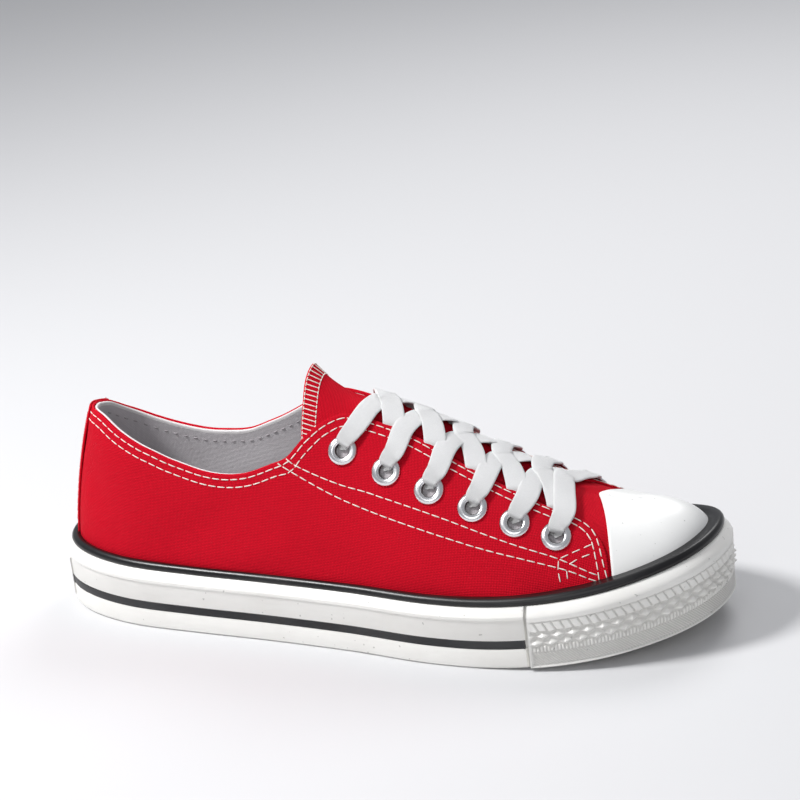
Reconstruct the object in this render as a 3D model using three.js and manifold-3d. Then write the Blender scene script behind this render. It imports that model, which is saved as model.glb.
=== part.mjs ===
// A low canvas sneaker, the right shoe of a pair, standing empty on its sole.
// The toe points along +X, the medial side faces +Y and +Z is up. Lengths are in millimetres.
import * as THREE from 'three';
import { mergeVertices } from 'three/addons/utils/BufferGeometryUtils.js';
import Module from 'manifold-3d';

const wasm = await Module();
wasm.setup();

// Pieces that touch on the real shoe are this far apart
const clearance = 0.3;

// Driving sizes of the last
const soleLength = 275;
const ballWidth = 93;
const instepHeight = 92;
const heelHeight = 82;
const toeSpring = 11;
const archLift = 0.8;

// The sole's side wall, heights measured from the ground
const foxingHeight = 24;
const foxingTopInset = 2.25;
const foxingEdge = 0.8;
const ledgeHeight = 19.8;
const ledgeProud = 0.5;
const ledgeBevel = 1.2;
const stripeHeight = 8.2;
const stripeWidth = 2.9;
const grooveDepth = 1.2;
const bandHeight = 2.7;
const soleThickness = 11.7;
const heelSwell = 0.07;
const heelSwellEnd = 0.4;
const toeSwell = 0.09;
const toeSwellStart = 0.6;
const springStart = 0.66;

// Toe bumper and heel label
const bumperStart = 8.16;
const bumperProud = 1;
const bumperRecess = 1;
const bumperSlope = 3.5;
const bumperGrooveHeights = [16.2, 7.4];
const bumperGrooveDepth = 0.5;
const bumperGrooveWidth = 0.9;
const labelReach = 1.15;
const labelProud = 0.4;
const labelRecess = 0.9;
const labelBottom = 3;
const labelHeight = 15;

// Upper, tongue and insole
const upperInset = 4.6;
const upperBase = soleThickness + clearance;
const quarterLayer = 0.9;
const vampWall = 1.8;
const capThickness = 1.2;
const capStart = 9.4;
const stayReach = 0.8;
const stayThickness = 0.9;
const tongueThickness = 2.2;
const tongueTop = 5.45;
const tongueToe = 8.95;
const tongueEdge = 0.45;
const tongueLift = 4.5;
const insoleInset = 8.4;
const insoleThickness = 3;

// Eyelets, vents and lace
const eyeletCount = 6;
const eyeletFirst = 5.97;
const eyeletPitch = 0.532;
const eyeletRadius = 5.75;
const eyeletBore = 2.75;
const eyeletBarrel = 3.2;
const eyeletRise = 1.1;
const flangeSides = 8;
const ventRadius = 4.3;
const ventBore = 1.6;
const ventBarrel = 2;
const ventRise = 0.9;
const laceWidth = 8.5;
const laceThickness = 1.2;
const laceSag = 1.4;
const laceHump = 2.2;
const laceDive = 0.6;
const laceMid = 0.36;
const laceStop = 0.09;
const laceEndLift = -0.4;
const barLean = 0.42;

// Sections of the last, a row for each station from the heel to the toe tip. Half breadths and
// ridge offsets are shares of ballWidth, ridge places shares of soleLength. The ridge's height
// is its heel share of heelHeight plus its instep share of instepHeight. Side and top say how
// full a section is at its foot and at its ridge, and lean how much its wall closes in.
const columns = ['lateral', 'medial', 'ridgeX', 'ridgeY', 'heel', 'instep', 'lean',
  'lateralSide', 'lateralTop', 'medialSide', 'medialTop'];
const stations = [
  [0.000, 0.000, 0.189, 0.000, 1.463, 0.000, 0.50, 0.87, 0.87, 0.87, 0.87],
  [-0.169, 0.175, 0.196, 0.000, 1.463, 0.000, 0.50, 0.87, 0.87, 0.87, 0.87],
  [-0.291, 0.299, 0.211, 0.000, 1.463, 0.000, 0.50, 0.85, 0.85, 0.85, 0.85],
  [-0.371, 0.348, 0.236, 0.000, 1.200, 0.213, 0.48, 0.81, 0.81, 0.81, 0.81],
  [-0.399, 0.349, 0.291, 0.000, 0.700, 0.615, 0.45, 0.77, 0.77, 0.77, 0.77],
  [-0.417, 0.333, 0.378, 0.005, 0.250, 0.930, 0.27, 0.64, 0.64, 0.64, 0.64],
  [-0.449, 0.360, 0.484, 0.011, 0.000, 1.000, 0.04, 0.50, 0.50, 0.48, 0.48],
  [-0.499, 0.446, 0.593, 0.016, 0.000, 0.886, 0.00, 0.44, 0.46, 0.42, 0.42],
  [-0.490, 0.500, 0.698, 0.022, 0.000, 0.755, 0.00, 0.42, 0.44, 0.36, 0.38],
  [-0.418, 0.478, 0.796, 0.027, 0.000, 0.625, 0.00, 0.44, 0.48, 0.36, 0.40],
  [-0.285, 0.396, 0.855, 0.043, 0.000, 0.557, 0.00, 0.58, 0.58, 0.44, 0.46],
  [-0.119, 0.270, 0.876, 0.059, 0.000, 0.540, 0.00, 0.68, 0.68, 0.58, 0.58],
  [0.088, 0.088, 0.884, 0.070, 0.000, 0.535, 0.00, 0.72, 0.72, 0.72, 0.72],
];

// Where the upper's edge runs, as a share of each section: station, lateral side, medial side
const edgeRows = [
  [0, 0.330, 0.330], [0.8, 0.334, 0.312], [1.7, 0.334, 0.278], [2.5, 0.316, 0.255],
  [3.3, 0.296, 0.244], [3.7, 0.284, 0.249], [4.15, 0.282, 0.275], [4.5, 0.298, 0.330],
  [4.8, 0.332, 0.397], [5.1, 0.392, 0.490], [5.3, 0.446, 0.575], [5.5, 0.553, 0.655],
  [5.75, 0.680, 0.730], [6, 0.765, 0.775], [6.7, 0.790, 0.800], [7.4, 0.745, 0.800],
  [8.1, 0.700, 0.790], [8.8, 0.672, 0.785], [9.33, 0.645, 0.780],
];

// Eyelets and vents: share of the section at the first one, and its change to the next
const eyeletShares = { lateral: [0.585, -0.0155], medial: [0.600, -0.012] };
const ventPlaces = [[5.85, 0.235], [6.45, 0.255]];

// The quarters' front edge, and how its corner sweeps back towards the throat
const quarterFront = 9.33;
const quarterFade = 8;
const quarterSweep = 0.45;
const sweepStart = 0.3;
const sweepEnd = 0.66;
const vampStep = 0.01;
const capSweep = 0.17;

// Splines and the sole's outline

const last = stations.length - 1;
const edgeStep = 0.01;
const turn = 2 * last;
const clamp = THREE.MathUtils.clamp;

function ringColumn(lateral, medial = lateral) {
  const values = (name) => stations.map((row) => row[columns.indexOf(name)]);
  return [...values(lateral).slice(0, last), ...values(medial).slice(1).reverse()];
}

const wrapped = (k) => ((k % turn) + turn) % turn;
const isLateral = (k) => wrapped(k) <= last;
const sideOf = (k) => (isLateral(k) ? wrapped(k) : turn - wrapped(k));

// Value of a closed column at station u, lateral side 0 to 12 and medial side 24 back to 12
function along(column, u) {
  const at = wrapped(u);
  const i = Math.floor(at);
  const f = at - i;
  const [a, b, c, d] = [-1, 0, 1, 2].map((k) => column[(i + k + turn) % turn]);
  return b + 0.5 * f * (c - a + f * (2 * a - 5 * b + 4 * c - d + f * (3 * (b - c) + d - a)));
}

const ring = {
  breadth: ringColumn('lateral', 'medial'),
  ridgeX: ringColumn('ridgeX'),
  ridgeY: ringColumn('ridgeY'),
  heel: ringColumn('heel'),
  instep: ringColumn('instep'),
  lean: ringColumn('lean'),
  side: ringColumn('lateralSide', 'medialSide'),
  top: ringColumn('lateralTop', 'medialTop'),
};

function outline(u) {
  const x = soleLength * (1 - Math.cos((Math.PI * u) / last)) / 2;
  return new THREE.Vector2(x, ballWidth * along(ring.breadth, u));
}

function insetOutline(u, inset) {
  const tangent = outline(u + edgeStep).sub(outline(u - edgeStep)).normalize();
  return outline(u).add(new THREE.Vector2(-tangent.y, tangent.x).multiplyScalar(inset));
}

// Height above the ground of a line drawn round the sole, lifted by the toe spring
function level(x, height) {
  const share = x / soleLength;
  const spring = toeSpring * clamp((share - springStart) / (1 - springStart), 0, 1) ** 2;
  const heel = heelSwell * clamp(1 - share / heelSwellEnd, 0, 1) ** 2;
  const toe = toeSwell * clamp((share - toeSwellStart) / (1 - toeSwellStart), 0, 1) ** 2;
  return spring + height * (1 + heel + toe);
}

function solePoint(u, inset, height) {
  const p = insetOutline(u, inset);
  return new THREE.Vector3(p.x, p.y, level(outline(u).x, height));
}

// The upper's form: a rib rises from the sole at station u to the ridge, share t of the way
const leanPower = 1.6;
function ribPoint(u, t) {
  const foot = insetOutline(u, upperInset);
  const base = level(outline(u).x, upperBase);
  const ridge = heelHeight * along(ring.heel, u) + instepHeight * along(ring.instep, u);
  const side = along(ring.side, u);
  const top = along(ring.top, u);
  const s = 1 - t;
  const height = 3 * s * s * t * side + 3 * s * t * t + t ** 3;
  const lean = 1 - along(ring.lean, u) * height ** leanPower;
  const out = (s ** 3 + 3 * s * s * t + 3 * s * t * t * top) * lean;
  const x = soleLength * along(ring.ridgeX, u);
  const y = ballWidth * along(ring.ridgeY, u);
  return new THREE.Vector3(x + (foot.x - x) * out, y + (foot.y - y) * out,
    base + (ridge - base) * height);
}

const normalReach = 0.05;
const normalRise = 0.01;
const normalTop = 0.97;
function ribNormal(u, t) {
  const at = clamp(t, normalRise, normalTop);
  const across = ribPoint(u + normalReach, at).sub(ribPoint(u - normalReach, at));
  const up = ribPoint(u, at + normalRise).sub(ribPoint(u, at - normalRise));
  return across.cross(up).normalize();
}

// A point of the upper's form moved out along its normal; the two sides share the ridge
function formPoint(u, t, out) {
  const normal = ribNormal(u, t);
  if (t > 0.999) normal.add(ribNormal(turn - u, t)).normalize();
  return ribPoint(u, t).addScaledVector(normal, out);
}

// Station of rib k at share t: ribs bend back with the quarters' front corner and the cap's edge
function swept(k, t) {
  const side = sideOf(k);
  const quarter = side <= quarterFront
    ? clamp((side - quarterFade) / (quarterFront - quarterFade), 0, 1)
    : clamp((capStart - side) / (capStart - quarterFront), 0, 1);
  const cap = side <= capStart
    ? clamp((side - quarterFront) / (capStart - quarterFront), 0, 1)
    : clamp((last - side) / (last - capStart), 0, 1);
  const back = clamp((t - sweepStart) / (sweepEnd - sweepStart), 0, 1) ** 4;
  const moved = side - quarterSweep * quarter * back + capSweep * cap * t * t;
  return isLateral(k) ? moved : turn - moved;
}

// Share of the section where the edge of the upper runs, by slopes through the table's rows
function edgeShare(k) {
  const side = sideOf(k);
  const column = isLateral(k) ? 1 : 2;
  const from = clamp(edgeRows.filter((row) => row[0] <= side).length - 1, 0, edgeRows.length - 2);
  const slope = (j) => {
    const a = edgeRows[Math.max(j - 1, 0)];
    const b = edgeRows[Math.min(j + 1, edgeRows.length - 1)];
    return (b[column] - a[column]) / (b[0] - a[0]);
  };
  const [p, q] = [edgeRows[from], edgeRows[from + 1]];
  const run = q[0] - p[0];
  const f = clamp((side - p[0]) / run, 0, 1);
  const ease = f * f * (3 - 2 * f);
  return p[column] * (1 - ease) + q[column] * ease
    + run * (slope(from) * f * (1 - f) ** 2 - slope(from + 1) * f * f * (1 - f));
}

// Share of the section that lies at a given height of the sole's scale
function shareAt(k, height) {
  let [low, high] = [0, 1];
  for (let i = 0; i < 30; i++) {
    const mid = (low + high) / 2;
    const u = swept(k, mid);
    if (ribPoint(u, mid).z < level(outline(u).x, height)) low = mid;
    else high = mid;
  }
  return low;
}

// Closed solids from grids of points

const spread = (from, to, count) =>
  Array.from({ length: count }, (_, i) => from + ((to - from) * i) / (count - 1));
const mix = THREE.MathUtils.lerp;

// A solid from loose triangles: shared corners are merged and its faces turned outwards
function solidFrom(triangles) {
  const positions = new Float32Array(triangles.flatMap((corner) => corner.toArray()));
  const loose = new THREE.BufferGeometry();
  loose.setAttribute('position', new THREE.BufferAttribute(positions, 3));
  const merged = mergeVertices(loose, 1e-3);
  const kept = [];
  let volume = 0;
  const corner = [0, 1, 2].map(() => new THREE.Vector3());
  for (let i = 0; i < merged.index.count; i += 3) {
    const [a, b, c] = [0, 1, 2].map((k) => merged.index.getX(i + k));
    if (a === b || b === c || c === a) continue;
    kept.push([a, b, c]);
    [a, b, c].forEach((n, k) => corner[k].fromBufferAttribute(merged.attributes.position, n));
    volume += corner[0].dot(corner[1].clone().cross(corner[2]));
  }
  merged.setIndex(kept.flatMap(([a, b, c]) => (volume < 0 ? [a, c, b] : [a, b, c])));
  return merged;
}

function quad(list, a, b, c, d) {
  list.push(a, b, c, a, c, d);
}

// A wall between an outer and an inner grid, [station][row], walled along every open edge.
// A top edge between two stations marked as joined has no wall, for the two sides meet there.
function shell(outer, inner, { closed = false, joined = () => false } = {}) {
  const list = [];
  const end = outer.length - 1;
  const top = outer[0].length - 1;
  for (let i = 0; i <= (closed ? end : end - 1); i++) {
    const n = (i + 1) % outer.length;
    for (let j = 0; j < top; j++) {
      quad(list, outer[i][j], outer[n][j], outer[n][j + 1], outer[i][j + 1]);
      quad(list, inner[i][j], inner[i][j + 1], inner[n][j + 1], inner[n][j]);
    }
    quad(list, outer[i][0], inner[i][0], inner[n][0], outer[n][0]);
    if (!joined(i, n)) quad(list, outer[i][top], outer[n][top], inner[n][top], inner[i][top]);
  }
  if (!closed) {
    for (let j = 0; j < top; j++) {
      quad(list, outer[0][j], outer[0][j + 1], inner[0][j + 1], inner[0][j]);
      quad(list, outer[end][j], inner[end][j], inner[end][j + 1], outer[end][j + 1]);
    }
  }
  return solidFrom(list);
}

// The flat end of a sweep, its triangles turned the way that its loop of corners runs
function endFace(loop) {
  const x = loop[1].clone().sub(loop[0]).normalize();
  const y = loop.at(-1).clone().sub(loop[0]);
  y.addScaledVector(x, -x.dot(y)).normalize();
  const plan = loop.map((p) => {
    const d = p.clone().sub(loop[0]);
    return new THREE.Vector2(d.dot(x), d.dot(y));
  });
  const run = Math.sign(THREE.ShapeUtils.area(plan));
  return THREE.ShapeUtils.triangulateShape(plan, []).flatMap((triangle) => {
    const own = Math.sign(THREE.ShapeUtils.area(triangle.map((n) => plan[n])));
    return (own === run ? triangle : triangle.toReversed()).map((n) => loop[n]);
  });
}

// Loops of corners joined one to the next, closed on themselves or with flat ends
function sweep(loops, closed = false) {
  const list = [];
  for (let i = 0; i < (closed ? loops.length : loops.length - 1); i++) {
    const [a, b] = [loops[i], loops[(i + 1) % loops.length]];
    a.forEach((_, j) => {
      const k = (j + 1) % a.length;
      quad(list, a[j], b[j], b[k], a[k]);
    });
  }
  if (!closed) list.push(...endFace(loops[0]), ...endFace(loops.at(-1)).reverse());
  return solidFrom(list);
}

// Stations all round the sole, with a close pair at each named edge on both sides
const edgeRoom = 0.12;
function soleStations(count, edges = []) {
  const marks = edges.flatMap((edge) => [edge, turn - edge]);
  const free = spread(0, turn, count + 1).slice(0, -1)
    .filter((u) => marks.every((mark) => Math.abs(u - mark) > edgeRoom));
  const pairs = marks.flatMap((mark) => [mark - edgeStep, mark + edgeStep]);
  return [...free, ...pairs].sort((a, b) => a - b);
}

const section = (rows) => (u) => rows.map(([inset, height]) => solePoint(u, inset, height));

// A level slab within the sole's outline, between two heights that may vary along the shoe
function slab(inset, low, high, count) {
  const list = [];
  const us = spread(0, last, count);
  const row = us.map((u) => [u, turn - u].flatMap((at) =>
    [low(at), high(at)].map((height) => solePoint(at, inset, height))));
  for (let i = 0; i < row.length - 1; i++) {
    const [a, b] = [row[i], row[i + 1]];
    quad(list, a[0], b[0], b[1], a[1]);
    quad(list, a[2], a[3], b[3], b[2]);
    quad(list, a[1], b[1], b[3], a[3]);
    quad(list, a[0], a[2], b[2], b[0]);
  }
  return solidFrom(list);
}

// Booleans

function toManifold(geometry) {
  const bare = geometry.clone();
  ['normal', 'uv'].forEach((name) => bare.deleteAttribute(name));
  const merged = mergeVertices(bare, 1e-4);
  return new wasm.Manifold(new wasm.Mesh({
    numProp: 3,
    vertProperties: merged.attributes.position.array,
    triVerts: new Uint32Array(merged.index.array),
  }));
}

function toGeometry(manifold) {
  const mesh = manifold.getMesh();
  const geometry = new THREE.BufferGeometry();
  geometry.setAttribute('position', new THREE.BufferAttribute(mesh.vertProperties, 3));
  geometry.setIndex(new THREE.BufferAttribute(mesh.triVerts, 1));
  return geometry;
}

// The object

const shoe = new THREE.Group();

const finishes = {
  canvas: { color: 0xb5122c, roughness: 0.9, metalness: 0 },
  whiteRubber: { color: 0xe4e3de, roughness: 0.55, metalness: 0 },
  capRubber: { color: 0xf0efec, roughness: 0.35, metalness: 0 },
  blackRubber: { color: 0x1b1a1c, roughness: 0.4, metalness: 0 },
  soleRubber: { color: 0xd8d6cf, roughness: 0.7, metalness: 0 },
  lining: { color: 0xcfcbc8, roughness: 0.95, metalness: 0 },
  lace: { color: 0xf2f2f0, roughness: 0.85, metalness: 0 },
  nickel: { color: 0xc9cbce, roughness: 0.3, metalness: 1 },
};

function add(name, geometry, finish) {
  geometry.computeVertexNormals();
  const mesh = new THREE.Mesh(geometry, new THREE.MeshStandardMaterial(finishes[finish]));
  mesh.name = name;
  shoe.add(mesh);
  return mesh;
}

// Outsole: flat under heel and forefoot, raised a little under the waist
const waistStart = 0.34;
const waistEnd = 0.54;
function outsoleLow(u) {
  const share = outline(u).x / soleLength;
  const across = clamp((share - waistStart) / (waistEnd - waistStart), 0, 1);
  return archLift * Math.sin(Math.PI * across) ** 2;
}
add('outsole', slab(upperInset, outsoleLow, () => soleThickness, 37), 'soleRubber');

// Foxing: the white side wall, with a groove for the stripe and recesses for bumper and label
const foxingWall = upperInset - clearance;
const ledgeRows = [[0, ledgeHeight - ledgeProud], [-ledgeProud, ledgeHeight],
  [-ledgeProud, ledgeHeight + ledgeBevel], [foxingTopInset, foxingHeight],
  [foxingWall, foxingHeight], [foxingWall, 0]];
const channel = (depth, low, high) => [[0, low], [depth, low], [depth, high], [0, high]];
const stripeGroove = channel(grooveDepth, stripeHeight - clearance,
  stripeHeight + stripeWidth + clearance);
const labelPocket = channel(labelRecess + clearance, labelBottom - clearance,
  labelBottom + labelHeight + clearance);
const footRows = [[foxingEdge, 0], [0, foxingEdge]];
const bumperSeat = bumperRecess + clearance;
function foxingSection(u) {
  const side = sideOf(u);
  if (side < bumperStart) {
    const middle = side < labelReach ? labelPocket : stripeGroove;
    return section([...footRows, ...middle, ...ledgeRows])(u);
  }
  const seat = [...footRows, ...stripeGroove, ...ledgeRows.slice(0, 2)]
    .map(([, height]) => [bumperSeat, height]);
  return section([...seat, [bumperSeat, foxingHeight - bumperSlope],
    [foxingTopInset + bumperSeat, foxingHeight], ...ledgeRows.slice(-2)])(u);
}
const foxingStations = soleStations(68, [bumperStart, labelReach]);
add('foxing', sweep(foxingStations.map(foxingSection), true), 'whiteRubber');

// Stripes: one each side, from the heel label to the toe bumper
const stripeGap = 0.04;
const stripeProud = 0.1;
const stripeRows = [[grooveDepth - clearance, stripeHeight], [-stripeProud, stripeHeight],
  [-stripeProud, stripeHeight + stripeWidth],
  [grooveDepth - clearance, stripeHeight + stripeWidth]];
const stripeRun = spread(labelReach + stripeGap, bumperStart - stripeGap, 24);
add('stripe_lateral', sweep(stripeRun.map(section(stripeRows))), 'blackRubber');
add('stripe_medial', sweep(stripeRun.map((u) => section(stripeRows)(turn - u))), 'blackRubber');

// Band: the rounded black edge that lies on the foxing's top and against the upper
const bandFoot = foxingHeight + clearance;
const bandTop = foxingHeight + bandHeight;
const bandRound = [[0, 0], [-0.06, 0.4], [0.3, 0.9], [0.75, 1.08]];
const bandCrest = mix(bandFoot, bandTop, 1.08);
function bandSection(u) {
  const width = upperInset - foxingTopInset;
  const round = bandRound.map(([across, up]) => solePoint(u, foxingTopInset + across * width,
    mix(bandFoot, bandTop, up)));
  const against = (height) => formPoint(u, shareAt(u, height), clearance);
  return [...round, against(bandTop), against(bandFoot)];
}
add('band', sweep(soleStations(68).map(bandSection), true), 'blackRubber');

// Toe bumper, with a groove under its plain top strip and one above its foot
const bumperGrooves = bumperGrooveHeights.toReversed().flatMap((height) => [
  [-bumperProud, height - bumperGrooveWidth], [bumperGrooveDepth - bumperProud, height],
  [-bumperProud, height + bumperGrooveWidth]]);
const bumperRows = [[bumperRecess, 0], [foxingEdge - bumperProud, 0], [-bumperProud, foxingEdge],
  ...bumperGrooves, [-bumperProud, foxingHeight - bumperSlope], [foxingTopInset, foxingHeight],
  [foxingTopInset + 2 * clearance, foxingHeight], [bumperRecess, foxingHeight - bumperSlope]];
const bumperGap = 0.03;
const bumperRun = spread(bumperStart + bumperGap, turn - bumperStart - bumperGap, 29);
add('toe_bumper', sweep(bumperRun.map(section(bumperRows))), 'whiteRubber');

// Heel label: a bare plate set into the foxing
const labelRows = [[labelRecess, labelBottom], [-labelProud, labelBottom],
  [-labelProud, labelBottom + labelHeight], [labelRecess, labelBottom + labelHeight]];
const labelRun = spread(stripeGap - labelReach, labelReach - stripeGap, 9);
add('heel_label', sweep(labelRun.map(section(labelRows))), 'whiteRubber');

// Insole
const insoleFoot = soleThickness + clearance;
add('insole', slab(insoleInset, () => insoleFoot, () => insoleFoot + insoleThickness, 25),
  'lining');

// Upper: quarters and vamp in one shell, the quarters a layer thicker than the vamp
const wallDepth = quarterLayer + vampWall;
const bothSides = (list) => [...list, ...list.slice(1, -1).map((k) => turn - k).reverse()];
const quarterRibs = [...spread(0, 4.8, 12), ...spread(4.8, 6, 9).slice(1),
  ...spread(6, quarterFront, 8).slice(1)];
const vampRibs = [...spread(quarterFront + vampStep, capStart, 3),
  ...spread(capStart, last, 7).slice(1)];
const ribs = bothSides([...quarterRibs, ...vampRibs]);
const sideShares = [0, 0.13, 0.27, 0.4, 0.53, 0.66, 0.78, 0.9, 1];
const crownShares = [0.35, 0.7, 1];
const frontShare = 0.7;
const isVamp = (k) => sideOf(k) > quarterFront;

function ribShares(k) {
  const past = clamp((sideOf(k) - quarterFront) / (last - quarterFront), 0, 1);
  const edge = isVamp(k) ? mix(edgeRows.at(-1)[isLateral(k) ? 1 : 2], frontShare, past)
    : edgeShare(k);
  const crown = crownShares.map((share) => (isVamp(k) ? mix(edge, 1, share) : edge));
  return [...sideShares.map((share) => share * edge), ...crown];
}
const ribLine = (k, shares, out) => shares.map((t) => formPoint(swept(k, t), t, out));
const upperShell = shell(
  ribs.map((k) => ribLine(k, ribShares(k), isVamp(k) ? -quarterLayer : 0)),
  ribs.map((k) => ribLine(k, ribShares(k), -wallDepth)),
  { closed: true, joined: (i, n) => isVamp(ribs[i]) && isVamp(ribs[n]) },
);

const eyeletPlaces = ['lateral', 'medial'].flatMap((side) =>
  Array.from({ length: eyeletCount }, (_, i) => {
    const station = eyeletFirst + i * eyeletPitch;
    const [first, change] = eyeletShares[side];
    const u = side === 'lateral' ? station : turn - station;
    return { name: `eyelet_${side}_${i + 1}`, u, t: first + i * change };
  }));
const vents = ventPlaces.map(([station, t], i) => ({ name: `vent_${i + 1}`, u: turn - station, t }));

function seated(mesh, { u, t }) {
  mesh.position.copy(ribPoint(u, t));
  mesh.quaternion.setFromUnitVectors(new THREE.Vector3(0, 1, 0), ribNormal(u, t));
  mesh.updateMatrix();
  return mesh;
}
const pinLength = 16;
function holeAt(place, radius) {
  const cylinder = new THREE.CylinderGeometry(radius, radius, pinLength, flangeSides);
  const pin = seated(new THREE.Mesh(cylinder), place);
  return toManifold(pin.geometry.applyMatrix4(pin.matrix));
}
const holes = [
  ...eyeletPlaces.map((place) => holeAt(place, eyeletBarrel + clearance)),
  ...vents.map((place) => holeAt(place, ventBarrel + clearance)),
];
const pierced = holes.reduce((solid, hole) => solid.subtract(hole), toManifold(upperShell));
add('upper', toGeometry(pierced), 'canvas');

// Eyelets and vents: a barrel through the wall with a rolled flange outside
const flangeShoulder = 0.8;
const flangeCrest = 0.3;
const flangeTurn = 0.23;
function eyeletGeometry(radius, bore, barrel, rise) {
  const profile = [[bore, -wallDepth], [barrel, -wallDepth], [barrel, clearance],
    [radius, clearance],
    [mix(barrel, radius, flangeShoulder), clearance + flangeShoulder * rise],
    [mix(barrel, radius, flangeCrest), clearance + rise]];
  const points = [...profile, profile[0]].map(([x, y]) => new THREE.Vector2(x, y));
  const geometry = new THREE.LatheGeometry(points, flangeSides);
  const { position } = geometry.attributes;
  const axis = new THREE.Vector3(0, 1, 0);
  for (let i = 0; i < position.count; i++) {
    const row = (i % points.length) % profile.length;
    const place = new THREE.Vector3().fromBufferAttribute(position, i);
    position.setXYZ(i, ...place.applyAxisAngle(axis, flangeTurn * row));
  }
  return geometry;
}
for (const place of eyeletPlaces) {
  const geometry = eyeletGeometry(eyeletRadius, eyeletBore, eyeletBarrel, eyeletRise);
  seated(add(place.name, geometry, 'nickel'), place);
}
for (const place of vents) {
  const geometry = eyeletGeometry(ventRadius, ventBore, ventBarrel, ventRise);
  seated(add(place.name, geometry, 'nickel'), place);
}

// Toe cap: cut between two larger forms of the upper, over the vamp
const capSeat = quarterLayer - clearance;
const capRibs = [...spread(capStart, last, 8), ...spread(last, turn - capStart, 8).slice(1)];
const capFoot = bandCrest + clearance;
const capLine = (k, out) => {
  const foot = shareAt(k, capFoot);
  return ribLine(k, [0, 0.16, 0.34, 0.52, 0.7, 0.86, 1].map((s) => mix(foot, 1, s)), out);
};
add('toe_cap', shell(capRibs.map((k) => capLine(k, capThickness - capSeat)),
  capRibs.map((k) => capLine(k, -capSeat)), { joined: () => true }), 'capRubber');

// Heel stay: a canvas strip over the back seam, from the band to the collar
const stayRibs = spread(-stayReach, stayReach, 5);
const stayLine = (k, out) => {
  const foot = shareAt(k, capFoot);
  return spread(foot, edgeShare(k), 7).map((t) => formPoint(k, t, out));
};
add('heel_stay', shell(stayRibs.map((k) => stayLine(k, clearance + stayThickness)),
  stayRibs.map((k) => stayLine(k, clearance))), 'canvas');

// Tongue: under the quarters and the vamp's edge, its top end lifted clear of the throat
const liftEnd = 6.1;
const liftShare = 0.75;
function tonguePoint(u, t, out) {
  const near = clamp((liftEnd - sideOf(u)) / (liftEnd - tongueTop), 0, 1) ** 2;
  const inner = THREE.MathUtils.smoothstep(t, liftShare, 1);
  return formPoint(u, t, out + tongueLift * near * inner);
}
const tongueShares = [tongueEdge, 0.6, liftShare, 0.88, 1];
const tongueSeat = -wallDepth - 2 * clearance;
const tongueLine = (u, out) => [
  ...tongueShares.map((t) => tonguePoint(u, t, out)),
  ...tongueShares.slice(0, -1).reverse().map((t) => tonguePoint(turn - u, t, out))];
const tongueRun = spread(tongueTop, tongueToe, 12);
add('tongue', shell(tongueRun.map((u) => tongueLine(u, tongueSeat)),
  tongueRun.map((u) => tongueLine(u, tongueSeat - tongueThickness))), 'canvas');

// Lace: flat strands laid over the throat, each a run of places [station, side, share, lift]
const aheadStep = 0.2;
function strand(places, steps) {
  const points = places.map(([station, lateral, t, lift]) =>
    formPoint(lateral ? station : turn - station, t, lift));
  const forward = places.map(([station, lateral, t]) => {
    const ahead = ribPoint(lateral ? station + aheadStep : turn - station - aheadStep, t);
    return ahead.sub(ribPoint(lateral ? station : turn - station, t)).normalize();
  });
  const path = new THREE.CatmullRomCurve3(points, false, 'centripetal');
  const lean = new THREE.CatmullRomCurve3(forward, false, 'centripetal');
  const loops = spread(0, 1, steps).map((s) => {
    const run = path.getTangent(s);
    const wide = lean.getPoint(s);
    wide.addScaledVector(run, -run.dot(wide)).setLength(laceWidth / 2);
    const thick = run.clone().cross(wide).setLength(laceThickness / 2);
    const centre = path.getPoint(s);
    return [[1, 1], [-1, 1], [-1, -1], [1, -1]].map(([w, h]) =>
      centre.clone().addScaledVector(wide, w).addScaledVector(thick, h));
  });
  return sweep(loops);
}

// A strand leaves its eyelet, passes the throat's edge, climbs to the ridge and dives under the
// far edge: stations past the eyelet, shares between the two places named, and lifts.
const laceSeat = clearance + laceThickness / 2;
const overEyelet = clearance + eyeletRise + laceSeat;
const strandLeave = 0.08;
const strandEdge = 0.2;
const strandClimb = 0.29;
const strandFall = 0.42;
const edgeLift = 0.9;
const climbLift = 0.7;
const fallLift = -0.8;
const halfway = 0.5;
const climbShare = 0.6;
const overLift = 0.8 * laceThickness;
function crossingStrand(i, lateral, ridgeLift) {
  const start = eyeletFirst + i * eyeletPitch;
  const [first, change] = eyeletShares[lateral ? 'lateral' : 'medial'];
  const own = first + i * change;
  const edge = edgeShare(lateral ? start : turn - start);
  const far = start + laceDive;
  const farEdge = edgeShare(lateral ? turn - far : far);
  return strand([
    [start, lateral, own, overEyelet],
    [start + strandLeave, lateral, mix(own, edge, halfway), overEyelet],
    [start + strandEdge, lateral, edge, laceSeat + edgeLift],
    [start + strandClimb, lateral, mix(edge, 1, climbShare), laceSeat + climbLift],
    [start + laceMid, lateral, 1, ridgeLift],
    [start + strandFall, !lateral, mix(farEdge, 1, climbShare), laceSeat + fallLift],
    [far, !lateral, farEdge + laceStop, laceEndLift],
  ], 11);
}
for (let i = 0; i < eyeletCount - 1; i++) {
  const under = toManifold(crossingStrand(i, true, -laceSag));
  const over = toManifold(crossingStrand(i, false, overLift - laceSag));
  add(`lace_crossing_${i + 1}`, toGeometry(under.add(over)), 'lace');
}

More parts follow.
